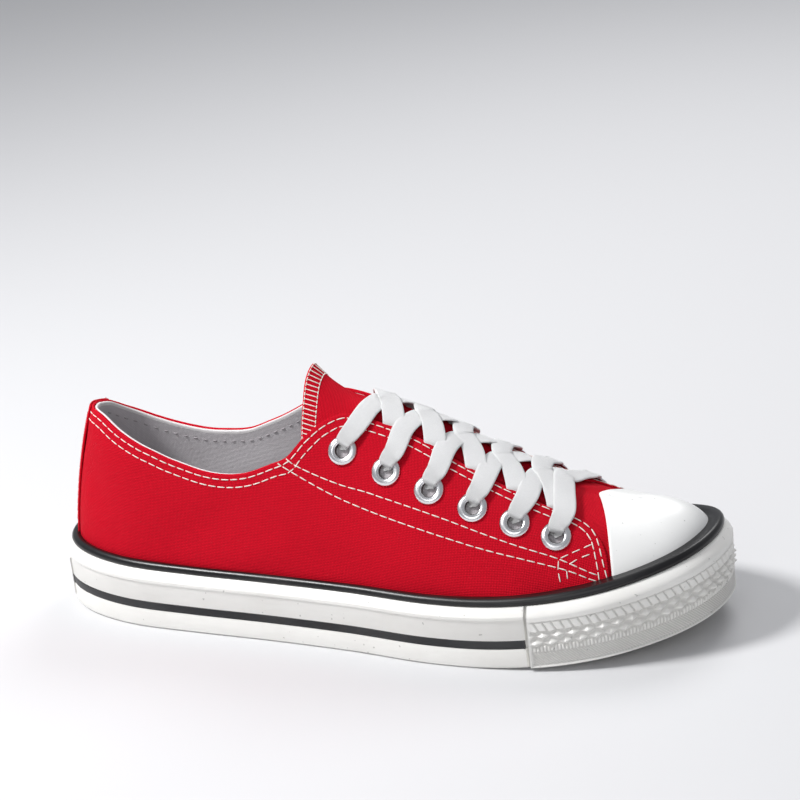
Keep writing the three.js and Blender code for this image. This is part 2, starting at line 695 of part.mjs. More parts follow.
// The bar between the two foremost eyelets
const barLift = 1.3;
const barPlaces = (lateral) => {
  const start = eyeletFirst + (eyeletCount - 1) * eyeletPitch;
  const [first, change] = eyeletShares[lateral ? 'lateral' : 'medial'];
  const own = first + (eyeletCount - 1) * change;
  const edge = edgeShare(lateral ? start : turn - start);
  return [
    [start, lateral, own, overEyelet],
    [start + 0.3 * barLean, lateral, mix(own, edge, halfway), overEyelet],
    [start + 0.7 * barLean, lateral, edge, laceSeat + laceHump / 2],
    [start + 0.9 * barLean, lateral, mix(edge, 1, climbShare), barLift],
  ];
};
const barTop = [eyeletFirst + (eyeletCount - 1) * eyeletPitch + barLean, true, 1, barLift];
add('lace_bar', strand([...barPlaces(true), barTop, ...barPlaces(false).reverse()], 15), 'lace');

// The origin is the middle of the footprint, on the ground
const box = new THREE.Box3().setFromObject(shoe);
const middle = box.getCenter(new THREE.Vector3());
shoe.position.set(-middle.x, -middle.y, -box.min.z);

export default shoe;
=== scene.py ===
import math

import bmesh
import bpy
import numpy as np
from mathutils import Matrix, Vector


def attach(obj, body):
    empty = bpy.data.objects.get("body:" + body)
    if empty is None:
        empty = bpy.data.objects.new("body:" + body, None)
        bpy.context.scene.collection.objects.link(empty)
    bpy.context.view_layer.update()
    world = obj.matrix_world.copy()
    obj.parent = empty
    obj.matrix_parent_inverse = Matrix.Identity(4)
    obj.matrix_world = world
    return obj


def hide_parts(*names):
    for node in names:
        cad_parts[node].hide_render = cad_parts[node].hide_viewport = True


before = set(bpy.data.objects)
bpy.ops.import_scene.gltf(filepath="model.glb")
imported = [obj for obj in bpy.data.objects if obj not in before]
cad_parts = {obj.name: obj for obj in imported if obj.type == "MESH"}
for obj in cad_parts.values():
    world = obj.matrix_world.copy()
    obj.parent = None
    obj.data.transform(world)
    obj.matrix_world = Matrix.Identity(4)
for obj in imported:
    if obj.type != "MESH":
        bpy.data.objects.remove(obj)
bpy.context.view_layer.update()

# Outsole
# The flat rubber bottom that is bonded inside the side wall. It is moulded with a grid of
# small lozenges under the ball and the heel, and is raised a little under the waist.

sole_length = 275.0
ball_width = 93.0
toe_spring = 11.0
spring_start = 0.66
heel_swell = 0.07
toe_swell = 0.09
arch_lift = 0.8
waist = (0.34, 0.54)
sole_thickness = 11.7
upper_inset = 4.6
tread_depth = 0.8
tread_pitch = 7.0
tread_slant = 1.6
tread_groove = 0.06
footprint_middle = np.array([137.75, 0.194, 0.0])

# Half widths of the sole from heel to toe at thirteen stations, as shares of the ball's width
lateral = [0, -.169, -.291, -.371, -.399, -.417, -.449, -.499, -.490, -.418, -.285, -.119, .088]
medial = [0, .175, .299, .348, .349, .333, .360, .446, .500, .478, .396, .270, .088]


def ring_column(near, far=None):
    """Values at the stations round the shoe: the lateral side, then the medial side back."""
    far = near if far is None else far
    return np.array(near[:12] + far[:0:-1])


breadth = ring_column(lateral, medial)


def along(column, w):
    """Value at station w: 0 at the heel, 12 at the toe, negative on the medial side."""
    at = np.mod(w, 24)
    i = np.floor(at).astype(int)
    f = at - i
    a, b, c, d = (column[(i + k) % 24] for k in (-1, 0, 1, 2))
    return b + 0.5 * f * (c - a + f * (2 * a - 5 * b + 4 * c - d + f * (3 * (b - c) + d - a)))


def outline(w):
    """Places of the sole's outline on the ground, in millimetres from the heel."""
    x = sole_length * (1 - np.cos(np.pi * np.asarray(w, float) / 12)) / 2
    return np.stack([x, ball_width * along(breadth, w)], -1)


def inset_outline(w, inset):
    tangent = outline(w + 0.01) - outline(w - 0.01)
    tangent /= np.linalg.norm(tangent, axis=-1, keepdims=True)
    inward = np.stack([-tangent[..., 1], tangent[..., 0]], -1)
    return outline(w) + inward * np.asarray(inset)[..., None]


def level(x, height):
    """Height above the ground of a line drawn round the sole at a height of its wall."""
    share = x / sole_length
    spring = toe_spring * np.clip((share - spring_start) / (1 - spring_start), 0, 1) ** 2
    heel = heel_swell * np.clip(1 - share / 0.4, 0, 1) ** 2
    toe = toe_swell * np.clip((share - 0.6) / 0.4, 0, 1) ** 2
    return spring + height * (1 + heel + toe)


def sole_point(w, inset, height):
    w, inset, height = np.broadcast_arrays(w, inset, height)
    flat = inset_outline(w, inset)
    return np.dstack([flat, level(outline(w)[..., 0], height)]) if flat.ndim == 3 else \
        np.column_stack([flat, level(outline(w)[..., 0], height)])


def make_piece(name, points, faces, uv=None, slots=None):
    """A mesh object from points in millimetres from the heel, with its doubles merged."""
    mesh = bpy.data.meshes.new(name)
    mesh.from_pydata(((np.asarray(points) - footprint_middle) * 0.001).tolist(), [], faces)
    if uv is not None:
        layer = mesh.uv_layers.new(name="UVMap")
        corners = np.array([v for face in faces for v in face])
        layer.data.foreach_set("uv", np.asarray(uv, float)[corners].ravel())
    if slots is not None:
        mesh.polygons.foreach_set("material_index", slots)
    shape = bmesh.new()
    shape.from_mesh(mesh)
    bmesh.ops.remove_doubles(shape, verts=shape.verts, dist=2e-6)
    bmesh.ops.dissolve_degenerate(shape, edges=shape.edges, dist=1e-6)
    if shape.calc_volume(signed=True) < 0:
        bmesh.ops.reverse_faces(shape, faces=shape.faces)
    for face in shape.faces:
        face.smooth = True
    shape.to_mesh(mesh)
    shape.free()
    piece = bpy.data.objects.new(name, mesh)
    bpy.context.scene.collection.objects.link(piece)
    return piece


def loop_faces(rows, length, closed):
    """Quads between neighbouring loops of points, each loop closed on itself."""
    faces = []
    for i in range(rows if closed else rows - 1):
        n = (i + 1) % rows
        for j in range(length):
            k = (j + 1) % length
            faces.append((i * length + j, n * length + j, n * length + k, i * length + k))
    return faces


def settle(piece):
    """The piece with its modifiers applied to its mesh."""
    evaluated = piece.evaluated_get(bpy.context.evaluated_depsgraph_get())
    mesh = bpy.data.meshes.new_from_object(evaluated)
    piece.modifiers.clear()
    piece.data = mesh
    return piece


class Mask:
    """A number or colour that runs between the nodes of a finish."""

    def __init__(self, finish, socket):
        self.finish = finish
        self.socket = socket

    def math(self, operation, *others):
        return self.finish.node("ShaderNodeMath", [self, *others], operation=operation)

    def __add__(self, other):
        return self.math("ADD", other)

    def __sub__(self, other):
        return self.math("SUBTRACT", other)

    def __rsub__(self, other):
        return self.finish.node("ShaderNodeMath", [other, self], operation="SUBTRACT")

    def __mul__(self, other):
        return self.math("MULTIPLY", other)

    def __pow__(self, other):
        return self.math("POWER", other)

    __radd__ = __add__
    __rmul__ = __mul__


class Finish:
    """A material, with one method that adds any node to it."""

    def __init__(self, name, **fixed):
        self.material = bpy.data.materials.new(name)
        self.material.use_nodes = True
        self.tree = self.material.node_tree
        self.shader = self.tree.nodes["Principled BSDF"]
        self.shade(**fixed)

    def node(self, kind, inputs=(), output=0, **settings):
        made = self.tree.nodes.new(kind)
        for key, value in settings.items():
            setattr(made, key, value)
        pairs = inputs.items() if isinstance(inputs, dict) else enumerate(inputs)
        for socket, value in pairs:
            self.feed(made.inputs[socket], value)
        return Mask(self, made.outputs[output])

    def feed(self, socket, value):
        if isinstance(value, Mask):
            self.tree.links.new(value.socket, socket)
        else:
            socket.default_value = value

    def shade(self, **sockets):
        for name, value in sockets.items():
            self.feed(self.shader.inputs[name.replace("_", " ")], value)

    def place(self, kind="Object"):
        return self.node("ShaderNodeTexCoord", output=kind)

    def axis(self, vector, n):
        return self.node("ShaderNodeSeparateXYZ", [vector], output=n)

    def noise(self, vector, scale, detail=2.0, roughness=0.5):
        return self.node("ShaderNodeTexNoise", {
            "Vector": vector, "Scale": scale, "Detail": detail, "Roughness": roughness})

    def between(self, value, low, high):
        return self.node("ShaderNodeMapRange", {0: value, 1: low, 2: high})

    def blend(self, share, first, second):
        colours = [(*c, 1) if isinstance(c, tuple) and len(c) == 3 else c for c in (first, second)]
        return self.node("ShaderNodeMix", {0: share, 6: colours[0], 7: colours[1]}, output=2,
                         data_type="RGBA")

    def relief(self, height, strength, distance):
        return self.node("ShaderNodeBump", {
            "Height": height, "Strength": strength, "Distance": distance})


def rubber(name, clean, soiled_and_shaded, roughness, soil=0.35, grooves=None):
    """Moulded rubber: faintly mottled, duller in dirty patches, and with painted shade in the
    hollows that the named attribute marks.
    """
    finish = Finish(name, Specular_IOR_Level=0.4)
    place = finish.place()
    patches = finish.between(finish.noise(place, 22, 4.0, 0.6), 0.45, 0.75)
    specks = finish.between(finish.noise(place, 520, 1.0), 0.74, 0.78)
    tone = finish.blend(patches * soil, clean, soiled_and_shaded)
    # Painted shade: the hollows marked by the attribute take a darker, greyer rubber tone.
    if grooves:
        depth = finish.node("ShaderNodeAttribute", output=2, attribute_name=grooves)
        tone = finish.blend(depth * 0.35, tone, tuple(c * 0.6 for c in soiled_and_shaded))
    finish.shade(
        Base_Color=finish.blend(specks * 0.5, tone, tuple(c * 0.4 for c in soiled_and_shaded)),
        Roughness=roughness + patches * 0.12,
        Normal=finish.relief(finish.noise(place, 900, 2.0), 0.12, 0.0002))
    return finish.material


def tread_height(x, y):
    """1 on the moulded lozenges under the sole, 0 in the grooves between them."""
    a = np.abs(np.mod((x + tread_slant * y) / tread_pitch, 1) - 0.5)
    b = np.abs(np.mod((x - tread_slant * y) / tread_pitch, 1) - 0.5)
    return np.clip((np.minimum(a, b) - tread_groove) / tread_groove, 0, 1)


outsole_finish = rubber("outsole rubber", (0.70, 0.68, 0.63), (0.42, 0.38, 0.33), 0.62)
tread_x = np.linspace(0.0, 12.0, 300)
tread_across = np.linspace(0, 1, 81)


def outsole_layer(height, cut):
    """A level of the outsole, with the tread cut into it to the given depth."""
    right = inset_outline(tread_x, upper_inset)
    left = inset_outline(-tread_x, upper_inset)
    flat = right[:, None] + (left - right)[:, None] * tread_across[None, :, None]
    x = outline(tread_x)[:, :1] * np.ones_like(tread_across)
    share = x / sole_length
    arch = np.clip((share - waist[0]) / (waist[1] - waist[0]), 0, 1)
    rim = np.minimum(tread_across, 1 - tread_across) * (len(tread_across) - 1)
    lift = np.where(height > 1, 0, arch_lift * np.sin(np.pi * arch) ** 2)
    hollow = cut * (1 - tread_height(flat[..., 0], flat[..., 1])) * np.clip(rim - 4, 0, 1)
    hollow *= np.clip(np.minimum(tread_x, 12 - tread_x) * 4 - 1, 0, 1)[:, None]
    return np.dstack([flat, level(x, height + lift) + hollow])


under = outsole_layer(0.0, tread_depth)
over = outsole_layer(sole_thickness, 0.0)
outsole_loops = np.concatenate([under, over[:, ::-1]], axis=1)
outsole = make_piece("outsole_tread", outsole_loops.reshape(-1, 3),
                     loop_faces(*outsole_loops.shape[:2], False))
outsole.data.materials.append(outsole_finish)
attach(outsole, "root")
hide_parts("outsole")

# Side wall
# A strip of off-white rubber wrapped round the outsole and the foot of the upper. A raised
# ledge runs under its top edge, and a groove holds the black stripe.

clearance = 0.3
wall_height = 24.0
wall_top_inset = 2.25
ledge_height = 19.8
ledge_proud = 0.5
ledge_bevel = 1.2
foot_edge = 0.8
stripe_height = 8.2
stripe_width = 2.9
groove_depth = 1.2
label_reach = 1.15
label_recess = 0.9
label_low, label_high = 3.0, 18.0
bumper_start = 8.16
bumper_recess = 1.0
bumper_slope = 3.5
corner_gap = 0.008


def bevelled(piece, width, segments=3, angle=25):
    """The piece with its sharp edges rounded, as a mould leaves them."""
    bevel = piece.modifiers.new("rounded", "BEVEL")
    bevel.width = width * 0.001
    bevel.segments = segments
    bevel.limit_method = "ANGLE"
    bevel.angle_limit = math.radians(angle)
    bevel.harden_normals = False
    return settle(piece)


def swept_piece(name, loops, closed, finish, width, segments=3):
    """A piece whose section follows the sole's outline, with flat ends where it isn't a ring."""
    count, length = loops.shape[:2]
    faces = loop_faces(count, length, closed)
    if not closed:
        faces += [tuple(range(length))[::-1], tuple((count - 1) * length + j for j in range(length))]
    piece = make_piece(name, loops.reshape(-1, 3), faces)
    piece.data.materials.append(finish)
    return bevelled(piece, width, segments) if width else piece


def section(ws, rows):
    """Loops of (inset, height) rows at the stations given."""
    rows = np.array(rows)
    return np.stack([sole_point(ws, inset, height) for inset, height in rows], axis=1)


def wall_rows(side):
    """Section of the side wall: grooved for the stripe, let in for the label and the bumper."""
    top = [(0, ledge_height - ledge_proud), (-ledge_proud, ledge_height),
           (-ledge_proud, ledge_height + ledge_bevel), (wall_top_inset, wall_height),
           (upper_inset - clearance, wall_height), (upper_inset - clearance, 0)]
    foot = [(foot_edge, 0), (0, foot_edge)]
    low, high = stripe_height - clearance, stripe_height + stripe_width + clearance
    depth = groove_depth
    if side < label_reach:
        low, high, depth = label_low - clearance, label_high + clearance, label_recess + clearance
    rows = foot + [(0, low), (depth, low), (depth, high), (0, high)] + top
    if side > bumper_start:
        seat = bumper_recess + clearance
        rows = [(seat, h) for _, h in rows[:8]] + [
            (seat, wall_height - bumper_slope), (wall_top_inset + seat, wall_height)] + rows[-2:]
    return rows


edges = np.array([-bumper_start, -label_reach, label_reach, bumper_start])
ring_ws = np.linspace(-12, 12, 421)[:-1]
ring_ws = ring_ws[np.abs(ring_ws[:, None] - edges).min(axis=1) > 0.03]
ring_ws = np.sort(np.concatenate([ring_ws, edges - corner_gap, edges + corner_gap]))
wall_loops = np.stack([section(np.array([w]), wall_rows(abs(w)))[0] for w in ring_ws])
wall_finish = rubber("side wall rubber", (0.80, 0.79, 0.76), (0.60, 0.58, 0.54), 0.42, 0.3)
wall = swept_piece("side_wall", wall_loops, True, wall_finish, 0.3, 2)
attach(wall, "root")
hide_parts("foxing")

# Stripes
# Two thin black rubber strips laid in the grooves of the side wall, one on each side, from
# the heel label to the toe bumper.

stripe_proud = 0.05
stripe_fit = 0.2
stripe_finish = rubber("black rubber", (0.012, 0.012, 0.014), (0.06, 0.06, 0.06), 0.38, 0.5)
for side, node in ((1, "stripe_lateral"), (-1, "stripe_medial")):
    stripe_ws = side * np.linspace(label_reach + 0.02, bumper_start - 0.02, 200)
    low, high = stripe_height - stripe_fit, stripe_height + stripe_width + stripe_fit
    rows = [(groove_depth - clearance, low), (-stripe_proud, low),
            (-stripe_proud, high), (groove_depth - clearance, high)]
    stripe = swept_piece(node + "_strip", section(stripe_ws, rows), False, stripe_finish, 0.25, 2)
    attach(stripe, "root")
    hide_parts(node)

# Toe bumper
# A second, thicker strip of white rubber round the toe, moulded with rows of slanted ticks,
# lozenges and fine ribs that guard the toe against scuffing.

bumper_proud = 1.0
bumper_gap = 0.03
tick_pitch = 3.3
lozenge_length = 5.6
lozenge_height = 2.75
comb_pitch = 1.35
rib_pitch = 1.15
tick_rows, lozenge_rows, comb_rows, rib_rows = (14.6, 18.4), (8.2, 14.9), (6.3, 8.9), (1.0, 6.2)
pattern_foot, pattern_top = 1.0, 18.6
relief_gain, relief_limit, relief_sink = 2.1, 0.9, 1.0
recess_shade_limit = 0.35


def bumper_relief(s, h):
    """Height of the moulded pattern, by the way along the strip and the height on it."""
    def band(low, high, soft=0.25):
        return np.clip((h - low) / soft, 0, 1) * np.clip((high - h) / soft, 0, 1)

    tick = np.mod((s + 0.55 * (h - 16.5)) / tick_pitch, 1)
    ticks = 0.42 * np.clip((0.5 - np.abs(tick - 0.5)) * 9, 0, 1)
    row = (h - 8.6) / lozenge_height
    column = s / lozenge_length + 0.5 * np.mod(np.floor(row), 2)
    a = np.abs(np.mod(column, 1) - 0.5) * 2
    b = np.abs(np.mod(row, 1) - 0.5) * 2
    lozenge = 0.85 * np.clip(1.15 - a - b, 0, 1)
    comb = 0.35 * np.clip((0.5 - np.abs(np.mod(s / comb_pitch, 1) - 0.5)) * 5 - 0.4, 0, 1)
    comb *= np.clip((0.55 + 0.35 * np.abs(np.mod(s / lozenge_length, 1) - 0.5) * 4
                     - (h - 6.4) / 2.6) * 5, 0, 1)
    ribs = 0.16 * (1 + np.sin(2 * np.pi * (s + 1.1 * h) / rib_pitch))
    return (band(*tick_rows) * ticks + band(*lozenge_rows) * lozenge + band(*comb_rows) * comb
            + band(*rib_rows) * ribs)


bumper_ws = np.linspace(bumper_start + bumper_gap, 24 - bumper_start - bumper_gap, 700)
bumper_line = inset_outline(bumper_ws, -bumper_proud)
bumper_run = np.concatenate([[0], np.cumsum(np.linalg.norm(np.diff(bumper_line, axis=0), axis=1))])
face_heights = np.concatenate([[0.0, 0.35], np.linspace(0.8, wall_height - bumper_slope, 64)])
face_heights = np.concatenate([face_heights, [21.6, 22.7, 23.5]])
face_insets = np.interp(face_heights, [0, 0.35, 0.8, 20.5, 21.6, 22.7, 23.5],
                        [-0.3, -0.85, -1.0, -1.0, -0.45, 0.5, 1.45])
bumper_face, bumper_hollow_shades = [], []
for h, inset in zip(face_heights, face_insets):
    relief = bumper_relief(bumper_run, h)
    moulded = pattern_foot < h < pattern_top
    raised = relief_gain * np.clip(relief, 0, relief_limit) - relief_sink * moulded
    fade = np.clip(np.minimum(bumper_run, bumper_run[-1] - bumper_run) - 0.6, 0, 1)
    bumper_face.append(sole_point(bumper_ws, inset - raised * fade, h))
    # Painted shade: the low parts of the moulded pattern are marked for a darker rubber tone.
    recess_shade = np.clip(1 - relief / recess_shade_limit, 0, 1) * moulded
    bumper_hollow_shades.append(recess_shade * fade)
bumper_back = [sole_point(bumper_ws, inset, h) for inset, h in (
    (wall_top_inset, wall_height), (wall_top_inset + 0.6, wall_height),
    (bumper_recess, wall_height - bumper_slope), (bumper_recess, 0))]
bumper_hollow_shades += [np.zeros_like(bumper_ws)] * len(bumper_back)
bumper_finish = rubber("bumper rubber", (0.84, 0.83, 0.80), (0.58, 0.56, 0.52), 0.45, 0.3,
                       "hollow_shade")
bumper = swept_piece("toe_bumper_relief", np.stack(bumper_face + bumper_back, axis=1), False,
                     bumper_finish, 0)
# The attribute carries the painted shade of the pattern's hollows to the bumper's finish.
hollow_shade = bumper.data.attributes.new("hollow_shade", "FLOAT", "POINT")
hollow_shade.data.foreach_set("value", np.stack(bumper_hollow_shades, axis=1).ravel())
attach(bumper, "root")
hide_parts("toe_bumper")

# Heel label
# A small moulded rubber plate let into the side wall at the back of the heel. It is plain,
# with a thin raised border.

label_proud, label_field = 0.4, 0.15
border_width, border_slope = 0.9, 1.2
label_ws = np.linspace(-label_reach + 0.03, label_reach - 0.03, 90)
label_rows = [(label_recess, label_low), (-label_proud, label_low),
              (-label_proud, label_low + border_width), (-label_field, label_low + border_slope),
              (-label_field, label_high - border_slope), (-label_proud, label_high - border_width),
              (-label_proud, label_high), (label_recess, label_high)]
label_loops = section(label_ws, label_rows)
label_ends = (np.abs(label_ws) > label_reach - 0.11)
proud = section(label_ws, [(-label_proud if i == -label_field else i, h) for i, h in label_rows])
label_loops[label_ends] = proud[label_ends]
label = swept_piece("heel_label_plate", label_loops, False, wall_finish, 0.15, 2)
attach(label, "root")
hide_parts("heel_label")

# Insole
# A thin foam sock covered with grey cotton, laid loose on the outsole inside the upper.

insole_inset = 8.4
insole_thickness = 3.0
thread_pitch = 0.62


def woven(name, light, dark, pitch, rough=0.9, depth=0.00016, fleck=0.1):
    """Plain weave: threads cross over and under, with uneven threads and paler flecks."""
    cloth = Finish(name, Roughness=rough, Specular_IOR_Level=0.1)
    place = cloth.place("UV")
    drift = cloth.noise(place, 0.22, 2.0) * 1.6
    warp = (cloth.axis(place, 0) * (math.pi / pitch) + drift).math("SINE")
    weft = (cloth.axis(place, 1) * (math.pi / pitch) + drift).math("SINE")
    crossing = warp * weft
    dome = crossing.math("ABSOLUTE") ** 0.6
    slub = cloth.noise(place, 0.9, 3.0, 0.7)
    over = cloth.between(crossing, -0.2, 0.2) * 0.12
    worn = cloth.between(cloth.noise(place, 0.035, 3.0, 0.6), 0.35, 0.7)
    tone = cloth.blend(dome * 0.8 + over + slub * fleck, dark, light)
    faded = cloth.blend(worn * 0.2, tone, tuple(c * 0.72 for c in light))
    cloth.shade(Base_Color=faded, Normal=cloth.relief(dome + slub * 0.6, 0.85, depth))
    return cloth.material


def unit(vectors):
    return vectors / np.maximum(np.linalg.norm(vectors, axis=-1, keepdims=True), 1e-9)


def shell(name, outer, inner, uv, bulge, round_ends=(True, True), lined=None):
    """A wall between two grids of points [station, row], rounded along its free edges.

    lined is the share of the rim's rounding from which faces take the second material.
    """
    rounding = np.radians([40, 90, 140])
    middle = (outer + inner) / 2
    half = (outer - inner) / 2

    def rim(at, before, angles):
        away = unit(middle[:, at] - middle[:, before])
        return [middle[:, at] + half[:, at] * math.cos(a) + away * bulge * math.sin(a)
                for a in angles]

    rows = outer.shape[1]
    top = rim(-1, -2, rounding)
    foot = rim(0, 1, rounding[::-1])
    loops = np.stack([*outer.swapaxes(0, 1), *top, *inner[:, ::-1].swapaxes(0, 1), *foot], axis=1)
    centre = np.stack([*middle.swapaxes(0, 1), *[middle[:, -1]] * 3,
                       *middle[:, ::-1].swapaxes(0, 1), *[middle[:, 0]] * 3], axis=1)
    rim_uv = [uv[:, -1] + [0, bulge * k] for k in (0.5, 1.0, 1.5)]
    foot_uv = [uv[:, 0] - [0, bulge * k] for k in (1.5, 1.0, 0.5)]
    loops_uv = np.stack([*uv.swapaxes(0, 1), *rim_uv, *(uv[:, ::-1] + [0, 2 * bulge]).swapaxes(0, 1),
                         *foot_uv], axis=1)
    for end, wanted in ((0, round_ends[0]), (-1, round_ends[1])):
        if not wanted:
            continue
        near = centre[end] - centre[end + 1 if end == 0 else end - 1]
        away = unit(near)
        extra = [centre[end] + (loops[end] - centre[end]) * math.cos(a)
                 + away * bulge * math.sin(a) for a in np.radians([50, 89.9])]
        extra_uv = [loops_uv[end]] * 2
        if end == 0:
            loops = np.concatenate([extra[::-1], loops])
            loops_uv = np.concatenate([extra_uv, loops_uv])
            centre = np.concatenate([centre[:1]] * 2 + [centre])
        else:
            loops = np.concatenate([loops, extra])
            loops_uv = np.concatenate([loops_uv, extra_uv])
    count, length = loops.shape[:2]
    faces = loop_faces(count, length, False)
    slots = None
    if lined is not None:
        turn = rows + int(round(lined * 3))
        slots = [1 if turn <= k % length < turn + rows + 1 else 0 for k in range(len(faces))]
    return make_piece(name, loops.reshape(-1, 3), faces, loops_uv.reshape(-1, 2), slots)


sock_ws = np.linspace(0.02, 11.98, 160)
sock_share = np.linspace(0, 1, 40)


def sock_layer(height):
    """A level of the insole, from one side of the sole to the other."""
    right = sole_point(sock_ws, insole_inset, height)
    left = sole_point(-sock_ws, insole_inset, height)
    return right[:, None] + (left - right)[:, None] * sock_share[None, :, None]


sock_finish = woven("insole cotton", (0.62, 0.60, 0.58), (0.34, 0.33, 0.33), 0.7)
sock_top = sock_layer(sole_thickness + clearance + insole_thickness)
sock_top[..., 2] -= 0.6 * np.clip(1 - 6 * np.minimum(sock_share, 1 - sock_share), 0, 1) ** 2
insole = shell("insole_sock", sock_top, sock_layer(sole_thickness + clearance),
               sock_top[..., :2], 0.8)
insole.data.materials.append(sock_finish)
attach(insole, "root")
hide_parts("insole")

# Quarters
# The two red canvas side panels, sewn together up the heel and lined with grey cotton. They
# carry the eyelets, and their front edges lap over the vamp.

instep_height = 92.0
heel_height = 82.0
upper_base = sole_thickness + clearance
quarter_layer = 0.9
wall_depth = 2.7
quarter_front = 9.33
cap_start = 9.4

ridge_x = ring_column([.189, .196, .211, .236, .291, .378, .484, .593, .698, .796, .855, .876, .884])
ridge_y = ring_column([0, 0, 0, 0, 0, .005, .011, .016, .022, .027, .043, .059, .070])
heel_share = ring_column([1.463, 1.463, 1.463, 1.2, .7, .25, 0, 0, 0, 0, 0, 0, 0])
instep_share = ring_column([0, 0, 0, .213, .615, .93, 1, .886, .755, .625, .557, .540, .535])
leaning = ring_column([.5, .5, .5, .48, .45, .27, .04, 0, 0, 0, 0, 0, 0])
side_full = ring_column([.87, .87, .85, .81, .77, .64, .50, .44, .42, .44, .58, .68, .72],
                        [.87, .87, .85, .81, .77, .64, .48, .42, .36, .36, .44, .58, .72])
top_full = ring_column([.87, .87, .85, .81, .77, .64, .50, .46, .44, .48, .58, .68, .72],
                       [.87, .87, .85, .81, .77, .64, .48, .42, .38, .40, .46, .58, .72])
edge_rows = np.array([
    [0, .330, .330], [.8, .334, .312], [1.7, .334, .278], [2.5, .316, .255], [3.3, .296, .244],
    [3.7, .284, .249], [4.15, .282, .275], [4.5, .298, .330], [4.8, .332, .397],
    [5.1, .392, .490], [5.3, .446, .575], [5.5, .553, .655], [5.75, .680, .730],
    [6, .765, .775], [6.7, .790, .800], [7.4, .745, .800], [8.1, .700, .790],
    [8.8, .672, .785], [9.33, .645, .780]])


def rib_point(w, t):
    """A point of the last's form: share t of the way from the sole to the ridge."""
    w, t = np.broadcast_arrays(np.asarray(w, float), np.asarray(t, float))
    foot = inset_outline(w, np.full(w.shape, upper_inset))
    base = level(outline(w)[..., 0], upper_base)
    ridge = heel_height * along(heel_share, w) + instep_height * along(instep_share, w)
    s = 1 - t
    height = 3 * s * s * t * along(side_full, w) + 3 * s * t * t + t ** 3
    out = (s ** 3 + 3 * s * s * t + 3 * s * t * t * along(top_full, w))
    out = out * (1 - along(leaning, w) * np.maximum(height, 0) ** 1.6)
    x = sole_length * along(ridge_x, w)
    y = ball_width * along(ridge_y, w)
    return np.stack([x + (foot[..., 0] - x) * out, y + (foot[..., 1] - y) * out,
                     base + (ridge - base) * height], -1)


def rib_normal(w, t):
    """Outward direction of the form."""
    at = np.clip(t, 0.01, 0.97)
    across = rib_point(w + 0.05, at) - rib_point(w - 0.05, at)
    rise = rib_point(w, at + 0.01) - rib_point(w, at - 0.01)
    return unit(np.cross(across, rise))


# Soft folds of the canvas, each a trough (or a ridge, where the depth is negative): station and
# share of its two ends, half width in millimetres and depth in millimetres
folds = [
    ((0.9, .25), (2.5, .10), 7, 0.9), ((1.2, .30), (3.2, .20), 6, -0.5),
    ((3.3, .08), (4.9, .26), 8, 0.8), ((4.2, .06), (5.6, .22), 7, -0.6),
    ((5.2, .22), (6.6, .09), 7, 0.7), ((6.3, .20), (7.5, .08), 6, 0.6),
    ((7.3, .22), (8.4, .10), 5, -0.5), ((8.0, .30), (8.7, .12), 5, 0.5),
    ((-1.0, .24), (-2.6, .12), 7, 0.8), ((-3.2, .10), (-4.8, .24), 8, 0.8),
    ((-5.0, .20), (-6.4, .08), 7, 0.6), ((-6.9, .28), (-8.0, .12), 6, 0.6),
    ((5.75, .52), (8.8, .44), 3.2, 0.35), ((-5.75, .52), (-8.8, .44), 3.2, 0.35),
]


def fold_lift(w, t):
    """Height of the folds over the form."""
    here = rib_point(w, t)
    total = np.zeros(here.shape[:-1])
    for start, end, half_width, depth in folds:
        a, b = rib_point(*start), rib_point(*end)
        run = b - a
        f = np.clip(((here - a) @ run) / (run @ run), 0, 1)
        near = np.linalg.norm(here - (a + f[..., None] * run), axis=-1)
        total -= depth * np.exp(-(near / half_width) ** 2) * np.sin(np.pi * np.clip(f, .12, .88))
    return total


# The ridge sags where the laces pull the throat together: station and depth in millimetres
sag_stations = [6.3, 7.0, 7.45, 7.9, 8.4, 9.0, 9.4, 10.2, 11.0]
sag_depths = [0.0, 0.5, 2.3, 3.1, 2.9, 2.4, 2.0, 0.7, 0.0]
sag_start, sag_span = 0.52, 0.34


def form_point(w, t, out):
    """The form moved out along its normal; the two sides share the ridge."""
    w, t = np.broadcast_arrays(np.asarray(w, float), np.asarray(t, float))
    high = np.clip((t - sag_start) / sag_span, 0, 1)
    out = out - np.interp(np.abs(w), sag_stations, sag_depths) * high * high * (3 - 2 * high)
    normal = rib_normal(w, t)
    ridge = np.clip((t - 0.985) / 0.015, 0, 1)[..., None]
    normal = unit(normal + ridge * rib_normal(-w, t))
    return rib_point(w, t) + normal * np.asarray(out)[..., None]


def edge_share(w):
    """Share of the section where the collar and throat run, by slopes through the table."""
    side = np.abs(w)
    column = np.where(w >= 0, 1, 2)
    i = np.clip(np.searchsorted(edge_rows[:, 0], side, side="right") - 1, 0, len(edge_rows) - 2)

    def slope(j):
        a, b = np.maximum(j - 1, 0), np.minimum(j + 1, len(edge_rows) - 1)
        rise = edge_rows[b, column] - edge_rows[a, column]
        return rise / (edge_rows[b, 0] - edge_rows[a, 0])

    run = edge_rows[i + 1, 0] - edge_rows[i, 0]
    f = np.clip((side - edge_rows[i, 0]) / run, 0, 1)
    ease = f * f * (3 - 2 * f)
    return (edge_rows[i, column] * (1 - ease) + edge_rows[i + 1, column] * ease
            + run * (slope(i) * f * (1 - f) ** 2 - slope(i + 1) * f * f * (1 - f)))


def swept(w, t):
    """Ribs bend back with the quarters' front corner and the cap's edge."""
    side = np.abs(w)
    quarter = np.where(side <= quarter_front, np.clip((side - 8) / (quarter_front - 8), 0, 1),
                       np.clip((cap_start - side) / (cap_start - quarter_front), 0, 1))
    cap = np.where(side <= cap_start,
                   np.clip((side - quarter_front) / (cap_start - quarter_front), 0, 1),
                   np.clip((12 - side) / (12 - cap_start), 0, 1))
    back = np.clip((t - 0.3) / 0.36, 0, 1) ** 4
    return np.sign(w) * (side - 0.45 * quarter * back + 0.17 * cap * t * t)


